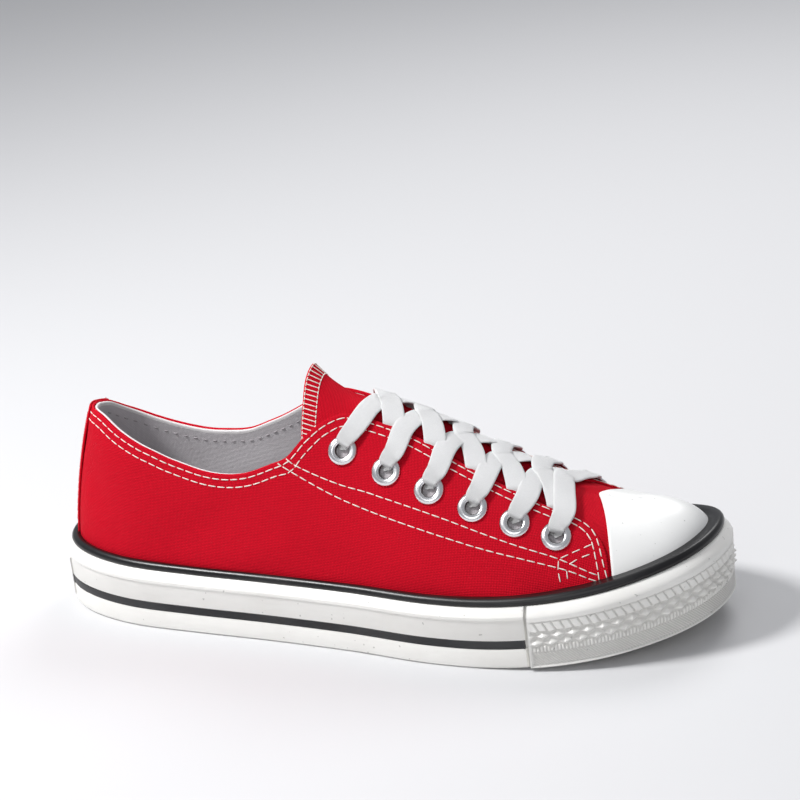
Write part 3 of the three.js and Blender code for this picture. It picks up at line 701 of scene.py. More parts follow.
def arc_uv(points, start=0.0):
    """Millimetres along the foot and up each rib, for the weave."""
    base = points[:, points.shape[1] // 3]
    run = np.concatenate([[0], np.cumsum(np.linalg.norm(np.diff(base, axis=0), axis=1))])
    rise = np.linalg.norm(np.diff(points, axis=1), axis=2)
    rise = np.concatenate([np.zeros((len(points), 1)), np.cumsum(rise, axis=1)], axis=1)
    return np.dstack([np.broadcast_to(run[:, None] + start, rise.shape), rise])


def panel(ws, shares, outs):
    """Grids of points at the given depths: shares is [station, row]."""
    w = swept(ws[:, None] * np.ones_like(shares), shares)
    lift = fold_lift(w, shares)
    keep = np.clip(shares / 0.08, 0, 1)
    return [form_point(w, shares, out + lift * keep) for out in outs]


eyelet_first, eyelet_pitch, eyelet_count = 5.97, 0.532, 6
eyelet_shares = {1: (0.585, -0.0155), -1: (0.600, -0.012)}
vent_places = [(-5.85, 0.235), (-6.45, 0.255)]
eyelet_hole, vent_hole = 3.3, 2.1
hole_sides = 20
pin_foot, pin_top = -8, 5
eyelet_places = [(side * (eyelet_first + i * eyelet_pitch), first + i * change)
                 for side, (first, change) in eyelet_shares.items() for i in range(eyelet_count)]


def seat_axes(w, t):
    """Place, along, up and outward directions of something set in the quarter."""
    up = rib_normal(w, t)
    ahead = rib_point(w + 0.03, t) - rib_point(w - 0.03, t)
    ahead = unit(ahead - up * (ahead @ up)) * (1 if w > 0 else -1)
    return rib_point(w, t), ahead, np.cross(up, ahead), up


def punched(piece, places):
    """The piece with a round hole cut through it at each place."""
    points, faces = [], []
    for w, t, radius in places:
        centre, ahead, side, up = seat_axes(w, t)
        base = len(points)
        for depth in (pin_foot, pin_top):
            for k in range(hole_sides):
                a = 2 * math.pi * k / hole_sides
                points.append(centre + up * depth
                              + radius * (ahead * math.cos(a) + side * math.sin(a)))
        under = [base + k for k in range(hole_sides)]
        over = [hole_sides + k for k in under]
        for k in range(hole_sides):
            n = (k + 1) % hole_sides
            faces.append((under[k], under[n], over[n], over[k]))
        faces += [tuple(under[::-1]), tuple(over)]
    pins = make_piece("pins", points, faces)
    cut = piece.modifiers.new("holes", "BOOLEAN")
    cut.object = pins
    cut.operation = "DIFFERENCE"
    cut.solver = "MANIFOLD"
    settle(piece)
    bpy.data.objects.remove(pins)
    return piece


hole_places = [(w, t, eyelet_hole) for w, t in eyelet_places]
hole_places += [(w, t, vent_hole) for w, t in vent_places]
canvas_finish = woven("red canvas", (0.74, 0.004, 0.022), (0.24, 0.0008, 0.005), thread_pitch,
                      0.85, 0.00024, 0.25)
quarter_ws = np.linspace(-quarter_front, quarter_front, 561)
quarter_edge = edge_share(quarter_ws)
quarter_rows = quarter_edge[:, None] * np.linspace(0.0, 1, 56) ** 0.92
thin = np.clip((np.abs(quarter_ws) - 8.45) / 0.3, 0, 1)[:, None]
quarter_outer, quarter_inner = panel(quarter_ws, quarter_rows, [0.0, -1.45 + 0.55 * thin])
quarters = shell("quarters", quarter_outer, quarter_inner, arc_uv(quarter_outer), 0.55)
quarters.data.materials.append(canvas_finish)
quarters = punched(quarters, hole_places)
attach(quarters, "root")
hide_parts("upper")

# Lining
# Grey cotton sewn inside the quarters. Its top edge is a paler folded binding that shows as a
# white line inside the collar.

lining_finish = woven("grey lining", (0.74, 0.71, 0.73), (0.40, 0.38, 0.40), 0.6, 0.95)
binding_finish = woven("white binding", (0.90, 0.88, 0.88), (0.62, 0.60, 0.60), 0.5, 0.9)
lining_front = 8.85
lining_depth = 1.5
binding_width = 2.9
lining_ws = np.linspace(-lining_front, lining_front, 401)
lining_edge = edge_share(lining_ws)
lining_rows = lining_edge[:, None] * np.linspace(0.0, 1, 44) ** 0.9
lining_outer, lining_inner = panel(lining_ws, lining_rows, [-lining_depth, -wall_depth])
lining = shell("lining", lining_outer, lining_inner, arc_uv(lining_outer), 0.5)
lining.data.materials.append(lining_finish)
lining.data.materials.append(binding_finish)
lining_top = rib_point(lining_ws, lining_edge)
centres = np.array([p.center for p in lining.data.polygons]) / 0.001 + footprint_middle
nearest = np.concatenate([
    np.linalg.norm(block[:, None] - lining_top[None], axis=2).min(axis=1)
    for block in np.array_split(centres, 60)])
lining.data.polygons.foreach_set("material_index", (nearest < binding_width).astype(int))
lining = punched(lining, hole_places)
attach(lining, "root")
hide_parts("upper")

# Vamp
# The canvas front panel that runs over the toes under the quarters' front edges. The toe cap
# covers most of it.

vamp_stations = np.concatenate([np.linspace(8.95, 9.6, 26), np.linspace(9.6, 12, 40)[1:]])
vamp_half = np.linspace(0, 1, 70) ** 0.85


def crossed(ws, half, out, wander):
    """Lines from the lateral foot over the ridge to the medial foot."""
    grids = []
    for sign in (1, -1):
        w = ws[:, None] * np.ones_like(half)[None]
        t = np.broadcast_to(half, w.shape)
        grids.append(form_point(sign * wander(w, t), t, np.broadcast_to(out, w.shape)))
    return np.concatenate([grids[0], grids[1][:, ::-1][:, 1:]], axis=1)


def vamp_wander(w, t):
    """The vamp's rear edge follows the swept ribs where the quarters lap over it."""
    lap = np.clip((t - 0.5) / 0.2, 0, 1)
    own = np.abs(swept(np.maximum(w, quarter_front), t))
    return np.where(w < 9.6, w + (own - w) * lap * np.clip((9.6 - w) / 0.65, 0, 1), w)


vamp_outer = crossed(vamp_stations, vamp_half, -quarter_layer - 0.05, vamp_wander)
vamp_inner = crossed(vamp_stations, vamp_half, -wall_depth, vamp_wander)
vamp = shell("vamp", vamp_outer, vamp_inner, arc_uv(vamp_outer), 0.5, round_ends=(True, False))
vamp.data.materials.append(canvas_finish)
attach(vamp, "root")
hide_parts("upper")

# Seams
# Rows of cream cotton lockstitch: two round the collar, throat and front edges, two along the
# eyelet facing, and the reinforcement at the foot of each front edge.

stitch_pitch = 3.9
stitch_length = 3.45
stitch_width = 0.46
stitch_lift = 0.12
seam_distances = (1.6, 4.6)

thread_finish = Finish("cream thread", Specular_IOR_Level=0.3)
twist = thread_finish.place()
strands = thread_finish.noise(twist, 1600, 1.0)
thread_finish.shade(
    Base_Color=thread_finish.blend(strands, (0.62, 0.56, 0.50), (0.90, 0.86, 0.80)),
    Roughness=0.7, Normal=thread_finish.relief(strands, 0.6, 0.0002))
thread_finish = thread_finish.material


def thread_loop():
    """One visible stitch, a metre long: a round thread that dips into the cloth at its ends."""
    points, faces = [], []
    stops = [(-0.5, -0.9, 0.35), (-0.44, -0.1, 0.8), (-0.2, 0.25, 1), (0.2, 0.25, 1),
             (0.44, -0.1, 0.8), (0.5, -0.9, 0.35)]
    for x, z, size in stops:
        for k in range(6):
            a = 2 * math.pi * k / 6
            points.append((x, 0.5 * size * math.cos(a), z * 0.35 + 0.36 * size * math.sin(a)))
    for i in range(5):
        for k in range(6):
            n = (k + 1) % 6
            faces.append((i * 6 + k, i * 6 + n, i * 6 + 6 + n, i * 6 + 6 + k))
    faces += [tuple(range(5, -1, -1)), tuple(range(30, 36))]
    mesh = bpy.data.meshes.new("thread")
    mesh.from_pydata(points, [], faces)
    shape = bmesh.new()
    shape.from_mesh(mesh)
    bmesh.ops.recalc_face_normals(shape, faces=shape.faces)
    for face in shape.faces:
        face.smooth = True
    shape.to_mesh(mesh)
    shape.free()
    made = bpy.data.objects.new("thread", mesh)
    bpy.context.scene.collection.objects.link(made)
    return made


def stitch_tree():
    """Sets a thread at each point, along its own direction and out along its own normal."""
    tree = bpy.data.node_groups.new("Sewn row", "GeometryNodeTree")
    face = tree.interface
    face.new_socket("Geometry", in_out="INPUT", socket_type="NodeSocketGeometry")
    face.new_socket("Thread", in_out="INPUT", socket_type="NodeSocketObject")
    face.new_socket("Width", in_out="INPUT", socket_type="NodeSocketFloat")
    face.new_socket("Unevenness", in_out="INPUT", socket_type="NodeSocketFloat")
    face.new_socket("Material", in_out="INPUT", socket_type="NodeSocketMaterial")
    face.new_socket("Geometry", in_out="OUTPUT", socket_type="NodeSocketGeometry")
    nodes, links = tree.nodes, tree.links
    start, end = nodes.new("NodeGroupInput"), nodes.new("NodeGroupOutput")

    def named(name, kind):
        made = nodes.new("GeometryNodeInputNamedAttribute")
        made.data_type = kind
        made.inputs["Name"].default_value = name
        return made.outputs["Attribute"]

    turn = nodes.new("FunctionNodeAxesToRotation")
    turn.primary_axis, turn.secondary_axis = "Z", "X"
    links.new(named("outward", "FLOAT_VECTOR"), turn.inputs[0])
    links.new(named("run", "FLOAT_VECTOR"), turn.inputs[1])
    wobble = nodes.new("FunctionNodeRandomValue")
    wobble.data_type = "FLOAT"
    wobble.inputs["Seed"].default_value = 7
    low = nodes.new("ShaderNodeMath")
    low.operation = "SUBTRACT"
    low.inputs[0].default_value = 1
    links.new(start.outputs["Unevenness"], low.inputs[1])
    links.new(low.outputs[0], wobble.inputs[2])
    wobble.inputs[3].default_value = 1.0
    long = nodes.new("ShaderNodeMath")
    long.operation = "MULTIPLY"
    links.new(named("length", "FLOAT"), long.inputs[0])
    links.new(wobble.outputs[1], long.inputs[1])
    size = nodes.new("ShaderNodeCombineXYZ")
    links.new(long.outputs[0], size.inputs[0])
    links.new(start.outputs["Width"], size.inputs[1])
    links.new(start.outputs["Width"], size.inputs[2])
    thread = nodes.new("GeometryNodeObjectInfo")
    links.new(start.outputs["Thread"], thread.inputs[0])
    place = nodes.new("GeometryNodeInstanceOnPoints")
    links.new(start.outputs["Geometry"], place.inputs["Points"])
    links.new(thread.outputs["Geometry"], place.inputs["Instance"])
    links.new(turn.outputs[0], place.inputs["Rotation"])
    links.new(size.outputs[0], place.inputs["Scale"])
    real = nodes.new("GeometryNodeRealizeInstances")
    links.new(place.outputs[0], real.inputs[0])
    paint = nodes.new("GeometryNodeSetMaterial")
    links.new(real.outputs[0], paint.inputs["Geometry"])
    links.new(start.outputs["Material"], paint.inputs["Material"])
    links.new(paint.outputs[0], end.inputs[0])
    return tree


sewn_row = stitch_tree()
thread = thread_loop()


def sew(name, stitches, width, node, unevenness=0.12, finish=None):
    """A piece of stitches, each a (centre, run, outward, length) in millimetres."""
    mesh = bpy.data.meshes.new(name)
    centres = np.array([s[0] for s in stitches])
    mesh.from_pydata(((centres - footprint_middle) * 0.001).tolist(), [], [])
    for key, column in (("run", 1), ("outward", 2)):
        layer = mesh.attributes.new(key, "FLOAT_VECTOR", "POINT")
        layer.data.foreach_set("vector", unit(np.array([s[column] for s in stitches])).ravel())
    layer = mesh.attributes.new("length", "FLOAT", "POINT")
    layer.data.foreach_set("value", [s[3] * 0.001 for s in stitches])
    piece = bpy.data.objects.new(name, mesh)
    bpy.context.scene.collection.objects.link(piece)
    rows = piece.modifiers.new("sewn", "NODES")
    rows.node_group = sewn_row
    wanted = {"Thread": thread, "Width": width * 0.001, "Unevenness": unevenness,
              "Material": finish or thread_finish}
    for item in sewn_row.interface.items_tree:
        if item.in_out == "INPUT" and item.name in wanted:
            rows[item.identifier] = wanted[item.name]
    settle(piece)
    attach(piece, "root")
    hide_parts(node)
    return piece


def spline(points, count=400):
    """A smooth line through (station, share) places."""
    points = np.array(points, float)
    ends = np.vstack([2 * points[0] - points[1], points, 2 * points[-1] - points[-2]])
    at = np.linspace(0, len(points) - 1 - 1e-9, count)
    i = at.astype(int)
    f = (at - i)[:, None]
    a, b, c, d = (ends[i + k] for k in range(4))
    return b + 0.5 * f * (c - a + f * (2 * a - 5 * b + 4 * c - d + f * (3 * (b - c) + d - a)))


def row_stitches(line, out, pitch=stitch_pitch, length=stitch_length):
    """Stitches at an even pitch along a line of (station, share) on the canvas."""
    w, t = line[:, 0], line[:, 1]
    where = form_point(w, t, out + fold_lift(w, t) * np.clip(t / 0.08, 0, 1))
    normal = rib_normal(w, t)
    run = np.concatenate([[0], np.cumsum(np.linalg.norm(np.diff(where, axis=0), axis=1))])
    count = max(int(run[-1] / pitch), 1)
    stitches = []
    for k in range(count):
        s = (k + 0.5) * run[-1] / count
        a, b = s - length / 2, s + length / 2
        ends = [np.array([np.interp(x, run, where[:, n]) for n in range(3)]) for x in (a, b)]
        outward = np.array([np.interp(s, run, normal[:, n]) for n in range(3)])
        stitches.append(((ends[0] + ends[1]) / 2, ends[1] - ends[0], outward,
                         np.linalg.norm(ends[1] - ends[0])))
    return stitches


def edge_line(from_w, to_w, distance, count=500):
    """A line at a distance in millimetres inside the collar's and throat's edge."""
    w = np.linspace(from_w, to_w, count)
    edge = edge_share(w)
    here = rib_point(w, edge)
    rise = np.linalg.norm(here - rib_point(w, edge - 0.02), axis=1) / 0.02
    run = unit(np.gradient(here, axis=0))
    up = unit(here - rib_point(w, edge - 0.02))
    slant = np.sqrt(np.clip(1 - np.sum(run * up, axis=1) ** 2, 0.15, 1))
    return np.column_stack([w, edge - distance / (rise * slant)])


def both_sides(line):
    """A line and its mirror on the medial side."""
    return [line, line * [-1, 1]]


front_outer = [(8.75, .662), (8.92, .645), (9.07, .622), (9.19, .575), (9.24, .511),
               (9.26, .444), (9.28, .365), (9.315, .265)]
front_inner = [(8.70, .622), (8.88, .605), (9.02, .580), (9.12, .532), (9.155, .479),
               (9.17, .418), (9.185, .34), (9.19, .262)]
facing_upper = [(5.29, .443), (5.43, .437), (6.0, .452), (6.36, .462), (7.23, .455),
                (8.10, .419), (8.67, .387), (9.18, .300)]
facing_lower = [(5.19, .412), (5.28, .409), (6.4, .395), (7.5, .378), (8.63, .343), (9.17, .262)]
brace_outer = [(9.17, .494), (8.88, .441), (8.64, .390)]
brace_inner = [(9.13, .434), (8.91, .400), (8.75, .360)]
foot_outer = [(8.64, .390), (8.62, .335), (8.64, .262)]
foot_inner = [(8.75, .360), (8.73, .315), (8.75, .262)]

seam_rows = []
for distance in seam_distances:
    for sign in (1, -1):
        seam_rows += row_stitches(edge_line(sign * 0.86, sign * 8.72, distance, 900), stitch_lift)
for line in (front_outer, front_inner, facing_upper, facing_lower, brace_outer, brace_inner,
             foot_outer, foot_inner):
    for mirrored in both_sides(spline(line)):
        seam_rows += row_stitches(mirrored, stitch_lift)
sew("seam_rows", seam_rows, stitch_width, "upper")

lining_stitches = []
for sign in (1, -1):
    for s in row_stitches(edge_line(sign * 0.05, sign * 5.4, 4.4, 700), -wall_depth - 0.1, 4.2, 2.0):
        lining_stitches.append((s[0], s[1], -s[2], s[3]))
dull_thread = woven("grey thread", (0.42, 0.39, 0.40), (0.25, 0.24, 0.25), 0.5)
sew("collar_inside_row", lining_stitches, 0.5, "upper", 0.2, dull_thread)

# Eyelets
# Six nickel-plated eyelets on each side, pressed through the canvas, each with a rolled flange
# outside and a flat ring inside.


def lathe_at(places, profile, steps=32):
    """A turned shape of (radius, height) rows set in the quarter at each place."""
    points, faces = [], []
    rows = len(profile)
    for w, t in places:
        centre, ahead, side, up = seat_axes(w, t)
        centre = centre + up * float(fold_lift(np.array(w), np.array(t)))
        base = len(points)
        for k in range(steps):
            a = 2 * math.pi * k / steps
            spoke = ahead * math.cos(a) + side * math.sin(a)
            points += [centre + spoke * r + up * h for r, h in profile]
        for k in range(steps):
            n = (k + 1) % steps
            faces += [(base + k * rows + j, base + n * rows + j,
                       base + n * rows + (j + 1) % rows, base + k * rows + (j + 1) % rows)
                      for j in range(rows)]
    return points, faces


nickel = Finish("nickel plate", Metallic=1.0)
nickel_place = nickel.place()
tarnish = nickel.between(nickel.noise(nickel_place, 160, 3.0), 0.4, 0.8)
barrel_shade = nickel.node("ShaderNodeAttribute", output=2, attribute_name="barrel_shade")
plate = nickel.blend(tarnish * 0.35, (0.80, 0.80, 0.82), (0.46, 0.45, 0.45))
# Painted shade and reflection: the barrels' insides get a dark maroon plate colour.
nickel.shade(Base_Color=nickel.blend(barrel_shade, plate, (0.06, 0.004, 0.007)),
             Roughness=0.2 + tarnish * 0.2,
             Normal=nickel.relief(nickel.noise(nickel_place, 700, 2.0), 0.08, 0.0002))
nickel = nickel.material


def shade_barrels(piece, profile):
    """Paints the inside of each barrel dark maroon as painted shade and a painted reflection: it
    only mirrors the canvas and the shoe's inside.
    """
    tone = piece.data.attributes.new("barrel_shade", "FLOAT", "POINT")
    inside = [float(h < 0.3 and r < profile[2][0]) for r, h in profile]
    tone.data.foreach_set("value", inside * (len(piece.data.vertices) // len(profile)))


flange = [(2.75, -2.9), (2.75, 0.1), (2.9, 0.75), (3.4, 1.2), (4.1, 1.32), (4.8, 1.12),
          (5.4, 0.72), (5.75, 0.3), (5.7, 0.08), (5.3, 0.02), (3.2, 0.02), (3.15, -2.75),
          (4.6, -2.8), (4.7, -2.95), (4.5, -3.08), (3.2, -3.1)]
points, faces = lathe_at(eyelet_places, flange)
eyelets = make_piece("eyelets", points, faces)
shade_barrels(eyelets, flange)
eyelets.data.materials.append(nickel)
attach(eyelets, "root")
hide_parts(*[f"eyelet_{side}_{i}" for side in ("lateral", "medial") for i in range(1, 7)])

# Vents
# Two small nickel eyelets low on the medial side that let the foot breathe.

vent_flange = [(1.5, -2.9), (1.5, 0.2), (1.7, 0.7), (2.3, 0.98), (3.1, 0.92), (3.9, 0.6),
               (4.3, 0.25), (4.2, 0.05), (3.8, 0.02), (2.0, 0.02), (1.98, -2.75), (3.2, -2.8),
               (3.25, -2.95), (3.1, -3.05), (2.0, -3.05)]
points, faces = lathe_at(vent_places, vent_flange, 28)
vents = make_piece("vents", points, faces)
shade_barrels(vents, vent_flange)
vents.data.materials.append(nickel)
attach(vents, "root")
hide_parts("vent_1", "vent_2")

# Toe cap
# A smooth white rubber cap bonded over the vamp, with a thin rounded rear edge.

cap_thickness = 1.2
cap_stations = np.concatenate([np.linspace(cap_start, 10.2, 30), np.linspace(10.2, 12, 70)[1:]])
cap_half = np.linspace(0.0, 1, 80) ** 0.8


def cap_wander(w, t):
    """The cap's rear edge runs back along the swept ribs and rounds over the ridge."""
    near = np.clip(t - 0.76, 0, 1)
    return np.abs(swept(w, t - near * near / 0.48))


cap_outer = crossed(cap_stations, cap_half, cap_thickness - quarter_layer + 0.15, cap_wander)
cap_inner = crossed(cap_stations, cap_half, -quarter_layer, cap_wander)
toe_cap = shell("toe_cap_rubber", cap_outer, cap_inner, arc_uv(cap_outer), 0.5,
                round_ends=(True, False))
cap_finish = rubber("cap rubber", (0.80, 0.80, 0.79), (0.66, 0.65, 0.62), 0.3, 0.2)
toe_cap.data.materials.append(cap_finish)
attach(toe_cap, "root")
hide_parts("toe_cap")

# Heel stay
# A strip of the same canvas sewn over the back seam from the band to the collar, its sides
# held by a row of zigzag stitches.

stay_reach = 0.8
stay_ws = np.linspace(-stay_reach, stay_reach, 60)
stay_rows = edge_share(stay_ws)[:, None] * np.linspace(0.06, 1.0, 70)
stay_w = np.broadcast_to(stay_ws[:, None], stay_rows.shape)
stay_outer = form_point(stay_w, stay_rows, 1.0)
stay_inner = form_point(stay_w, stay_rows, 0.08)
stay = shell("heel_stay_strip", stay_outer, stay_inner, arc_uv(stay_outer, 7.0), 0.45)
stay.data.materials.append(canvas_finish)
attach(stay, "root")
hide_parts("heel_stay")

pink_thread = woven("pink thread", (0.78, 0.52, 0.52), (0.55, 0.30, 0.31), 0.4)
zigzag = []
for sign in (1, -1):
    t = np.linspace(0.075, 0.318, 34)
    for k in range(len(t) - 1):
        sides = (0.76, 0.62) if k % 2 else (0.62, 0.76)
        a = form_point(sign * sides[0], t[k], 1.12)
        b = form_point(sign * sides[1], t[k + 1], 1.12)
        zigzag.append(((a + b) / 2, b - a, rib_normal(sign * 0.65, t[k]), np.linalg.norm(b - a)))
sew("heel_stay_zigzag", zigzag, 0.5, "heel_stay", 0.05, pink_thread)

# Tongue
# A strip of canvas faced with grey cotton, sewn under the vamp and free at its sides.
# Its top end is cut straight and overlocked with cream thread.

tongue_top, tongue_toe = 5.45, 8.95
tongue_edge = 0.45
tongue_lift = 4.5
lift_end, lift_share = 6.1, 0.75
tongue_seat = -wall_depth - 2 * clearance
tongue_thickness = 2.2
tongue_fill = 1.9
rung_pitch, rung_slant = 1.9, 1.3


def tongue_layer(out, ws, half):
    """A face of the tongue. Its top end stands up, and it fills the open throat."""
    def wander_out(w, t):
        near = np.clip((lift_end - np.abs(w)) / (lift_end - tongue_top), 0, 1) ** 2
        s = np.clip((t - lift_share) / (1 - lift_share), 0, 1)
        edge = edge_share(w)
        clear = np.clip((t - edge - 0.005) / 0.05, 0, 1) * np.clip((np.abs(w) - 5.9) / 0.5, 0, 1)
        crown = np.clip((t - 0.9) / 0.1, 0, 1)
        fill = tongue_fill * clear * clear * (3 - 2 * clear) * (1 - crown)
        return out + tongue_lift * near * s * s * (3 - 2 * s) + fill

    w = ws[:, None] * np.ones_like(half)[None]
    t = np.broadcast_to(half, w.shape)
    right = form_point(w, t, wander_out(w, t))
    left = form_point(-w, t, wander_out(w, t))
    return np.concatenate([right, left[:, ::-1][:, 1:]], axis=1)


tongue_ws = np.linspace(tongue_top, tongue_toe, 110)
tongue_half = np.linspace(tongue_edge, 1, 50)
tongue_outer = tongue_layer(tongue_seat, tongue_ws, tongue_half)
tongue_inner = tongue_layer(tongue_seat - tongue_thickness, tongue_ws, tongue_half)
tongue = shell("tongue_cloth", tongue_outer, tongue_inner, arc_uv(tongue_outer), 0.7, lined=0.67)
tongue.data.materials.append(canvas_finish)
tongue.data.materials.append(lining_finish)
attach(tongue, "root")
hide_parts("tongue")

overlock = []
lock_half = np.linspace(tongue_edge + 0.01, 1, 400)
lock_rows = [tongue_layer(tongue_seat + 0.12, np.array([w]), lock_half)[0]
             for w in (tongue_top + 0.003, tongue_top + 0.16)]
lock_run = np.concatenate([[0], np.cumsum(np.linalg.norm(np.diff(lock_rows[0], axis=0), axis=1))])
rungs = int(lock_run[-1] / rung_pitch)
for k in range(rungs):
    s = (k + 0.5) / rungs * lock_run[-1]
    ends = []
    for row, shift in zip(lock_rows, (0.0, rung_slant)):
        ends.append(np.array([np.interp(s + shift, lock_run, row[:, n]) for n in range(3)]))
    a, b = ends
    across = np.array([np.interp(s + 0.5, lock_run, lock_rows[0][:, n]) for n in range(3)]) - a
    outward = np.cross(across, b - a)
    outward *= np.sign(outward @ np.array([-0.2, 0, 1.0])) or 1
    overlock.append(((a + b) / 2, b - a, outward, np.linalg.norm(b - a) * 1.05))
    for end, place in ((0, a), (1, b)):
        ahead = np.array([np.interp(s + 1.5, lock_run, lock_rows[end][:, n]) for n in range(3)])
        behind = np.array([np.interp(s, lock_run, lock_rows[end][:, n]) for n in range(3)])
        overlock.append((place, ahead - behind, outward, 1.6))
sew("tongue_overlock", overlock, 0.42, "tongue", 0.1)

# Band
# A half-round strip of glossy black rubber that covers the joint between the side wall and
# the canvas all round the shoe.

band_height = 2.7


def share_at(w, height):
    """Share of each rib at a height of the side wall."""
    low, high = np.zeros_like(w), np.ones_like(w)
    for _ in range(24):
        half_way = (low + high) / 2
        at = swept(w, half_way)
        below = rib_point(at, half_way)[..., 2] < level(outline(at)[..., 0], height)
        low, high = np.where(below, half_way, low), np.where(below, high, half_way)
    return low


band_ws = np.linspace(-12, 12, 481)[:-1]
band_foot, band_top = wall_height + 0.05, wall_height + band_height
band_width = upper_inset - wall_top_inset
band_rows = [(0.25, -0.02), (-0.02, 0.08), (-0.12, 0.35), (-0.06, 0.62), (0.12, 0.85),
             (0.38, 1.02), (0.68, 1.08), (0.92, 1.02)]
band_loop = [sole_point(band_ws, wall_top_inset + a * band_width,
                        band_foot + b * (band_top - band_foot)) for a, b in band_rows]
for height in (band_top - 0.3, band_foot):
    share = share_at(band_ws, height)
    band_loop.append(form_point(swept(band_ws, share), share, 0.02))
band_finish = rubber("band rubber", (0.004, 0.004, 0.005), (0.03, 0.03, 0.03), 0.3, 0.6)
band = swept_piece("band_strip", np.stack(band_loop, axis=1), True, band_finish, 0)
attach(band, "root")
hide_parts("band")

# Lace
# One flat white cotton lace. A bar joins the two foremost eyelets. Each strand leaves its
# eyelet, crosses over the tongue and dives under the far throat edge towards the next one.

lace_width = 8.5
lace_thickness = 1.1
eyelet_rise = 1.25
lace_seat = 0.15 + lace_thickness / 2
flange_seat = eyelet_rise + lace_seat - 0.45
lace_sides = 16
braid_rate = 5.2
# Width and thickness of the lace from the eyelet's hole to where it lies flat
leaving_sizes = [(4.0, 1.7), (4.6, 1.7), (6.2, 1.7), (7.2, 1.5), (7.9, 1.25)]
pinched_width = 4.6
flat_size = (lace_width, lace_thickness)


def lace_finish():
    """Flat tubular braid: fine slanted ribs on both halves, with painted shade making it greyer
    where it is pinched.
    """
    cloth = Finish("white lace", Roughness=0.85, Specular_IOR_Level=0.2, Sheen_Weight=0.2)
    place = cloth.place("UV")
    across, run = cloth.axis(place, 0), cloth.axis(place, 1)
    slant = (across * braid_rate + run * braid_rate).math("SINE")
    back = (across * braid_rate - run * braid_rate).math("SINE")
    braid = (slant * back).math("ABSOLUTE") ** 0.6
    uneven = cloth.noise(place, 0.8, 2.0)
    pinch = cloth.between(cloth.node("ShaderNodeAttribute", output=2, attribute_name="pinch"),
                          0.05, 0.9)
    tone = cloth.blend(braid * 0.75 + uneven * 0.25, (0.74, 0.74, 0.74), (0.98, 0.98, 0.98))
    # Painted shade: the gathered lace where it is pinched near the eyelets is toned grey.
    gathered_shade = cloth.blend(braid, (0.30, 0.30, 0.30), (0.74, 0.74, 0.73))
    cloth.shade(Base_Color=cloth.blend(pinch * 0.75, tone, gathered_shade),
                Normal=cloth.relief(braid + uneven * 0.4, 0.9, 0.0003))
    return cloth.material


lace_cloth = lace_finish()


def ribbon(places, sizes, steps=110):
    """A flat band of lace through places (station, share, lift), with its size at each."""
    points = np.array([form_point(np.array(p[0]), np.array(p[1]), np.array(p[2])) for p in places])
    normals = np.array([rib_normal(np.array(p[0]), np.array(p[1])) for p in places])
    chord = np.concatenate([[0], np.cumsum(np.sqrt(np.linalg.norm(np.diff(points, axis=0),
                                                                    axis=1)))])
    data = np.column_stack([points, normals, np.array(sizes)])
    at = np.linspace(0, chord[-1], steps)

    def through(x):
        i = np.clip(np.searchsorted(chord, x, side="right") - 1, 0, len(chord) - 2)
        f = ((x - chord[i]) / (chord[i + 1] - chord[i]))[:, None]
        step = (chord[i + 1] - chord[i])[:, None]

        def slope(j):
            a, b = np.maximum(j - 1, 0), np.minimum(j + 1, len(chord) - 1)
            return (data[b] - data[a]) / (chord[b] - chord[a])[:, None]

        h = f * f * (3 - 2 * f)
        return (data[i] * (1 - h) + data[i + 1] * h
                + step * (slope(i) * f * (1 - f) ** 2 - slope(i + 1) * f * f * (1 - f)))

    rows = through(at)
    centre, up = rows[:, :3], rows[:, 3:6]
    run = unit(np.gradient(centre, axis=0))
    wide = unit(np.cross(run, up))
    thick = unit(np.cross(wide, run))
    profile = []
    for k in range(lace_sides):
        a = 2 * math.pi * k / lace_sides
        x = math.copysign(abs(math.cos(a)) ** 0.45, math.cos(a))
        y = math.copysign(abs(math.sin(a)) ** 0.8, math.sin(a))
        profile.append((x, y))
    loops, uv, pinch = [], [], []
    length = np.concatenate([[0], np.cumsum(np.linalg.norm(np.diff(centre, axis=0), axis=1))])
    for n in range(steps):
        w, h = rows[n, 6] / 2, rows[n, 7] / 2
        cup = 0.25 * (rows[n, 6] < lace_width - 0.4)
        for x, y in profile:
            loops.append(centre[n] + wide[n] * x * w + thick[n] * (y * h + cup * x * x))
            uv.append((x * lace_width / 2, length[n]))
            pinch.append(1 - (rows[n, 6] - pinched_width) / (lace_width - pinched_width))
    return np.array(loops), uv, pinch


def lace_piece(name, ribbons, node):
    """A piece of one or more bands of lace, closed at their ends."""
    points, faces, uvs, pinches = [], [], [], []
    for loops, uv, pinch in ribbons:
        base = len(points)
        rows = len(loops) // lace_sides
        faces += [tuple(base + v for v in face) for face in loop_faces(rows, lace_sides, False)]
        faces += [tuple(base + k for k in range(lace_sides))[::-1],
                  tuple(base + (rows - 1) * lace_sides + k for k in range(lace_sides))]
        points += list(loops)
        uvs += uv
        pinches += pinch
    mesh = bpy.data.meshes.new(name)
    mesh.from_pydata(((np.array(points) - footprint_middle) * 0.001).tolist(), [], faces)
    layer = mesh.uv_layers.new(name="UVMap")
    corners = np.array([v for face in faces for v in face])
    layer.data.foreach_set("uv", np.array(uvs)[corners].ravel())
    tone = mesh.attributes.new("pinch", "FLOAT", "POINT")
    tone.data.foreach_set("value", np.clip(pinches, 0, 1))
    shape = bmesh.new()
    shape.from_mesh(mesh)
    bmesh.ops.recalc_face_normals(shape, faces=shape.faces)
    for face in shape.faces:
        face.smooth = len(face.verts) == 4
    shape.to_mesh(mesh)
    shape.free()
    mesh.materials.append(lace_cloth)
    piece = bpy.data.objects.new(name, mesh)
    bpy.context.scene.collection.objects.link(piece)
    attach(piece, "root")
    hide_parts(node)
    return piece


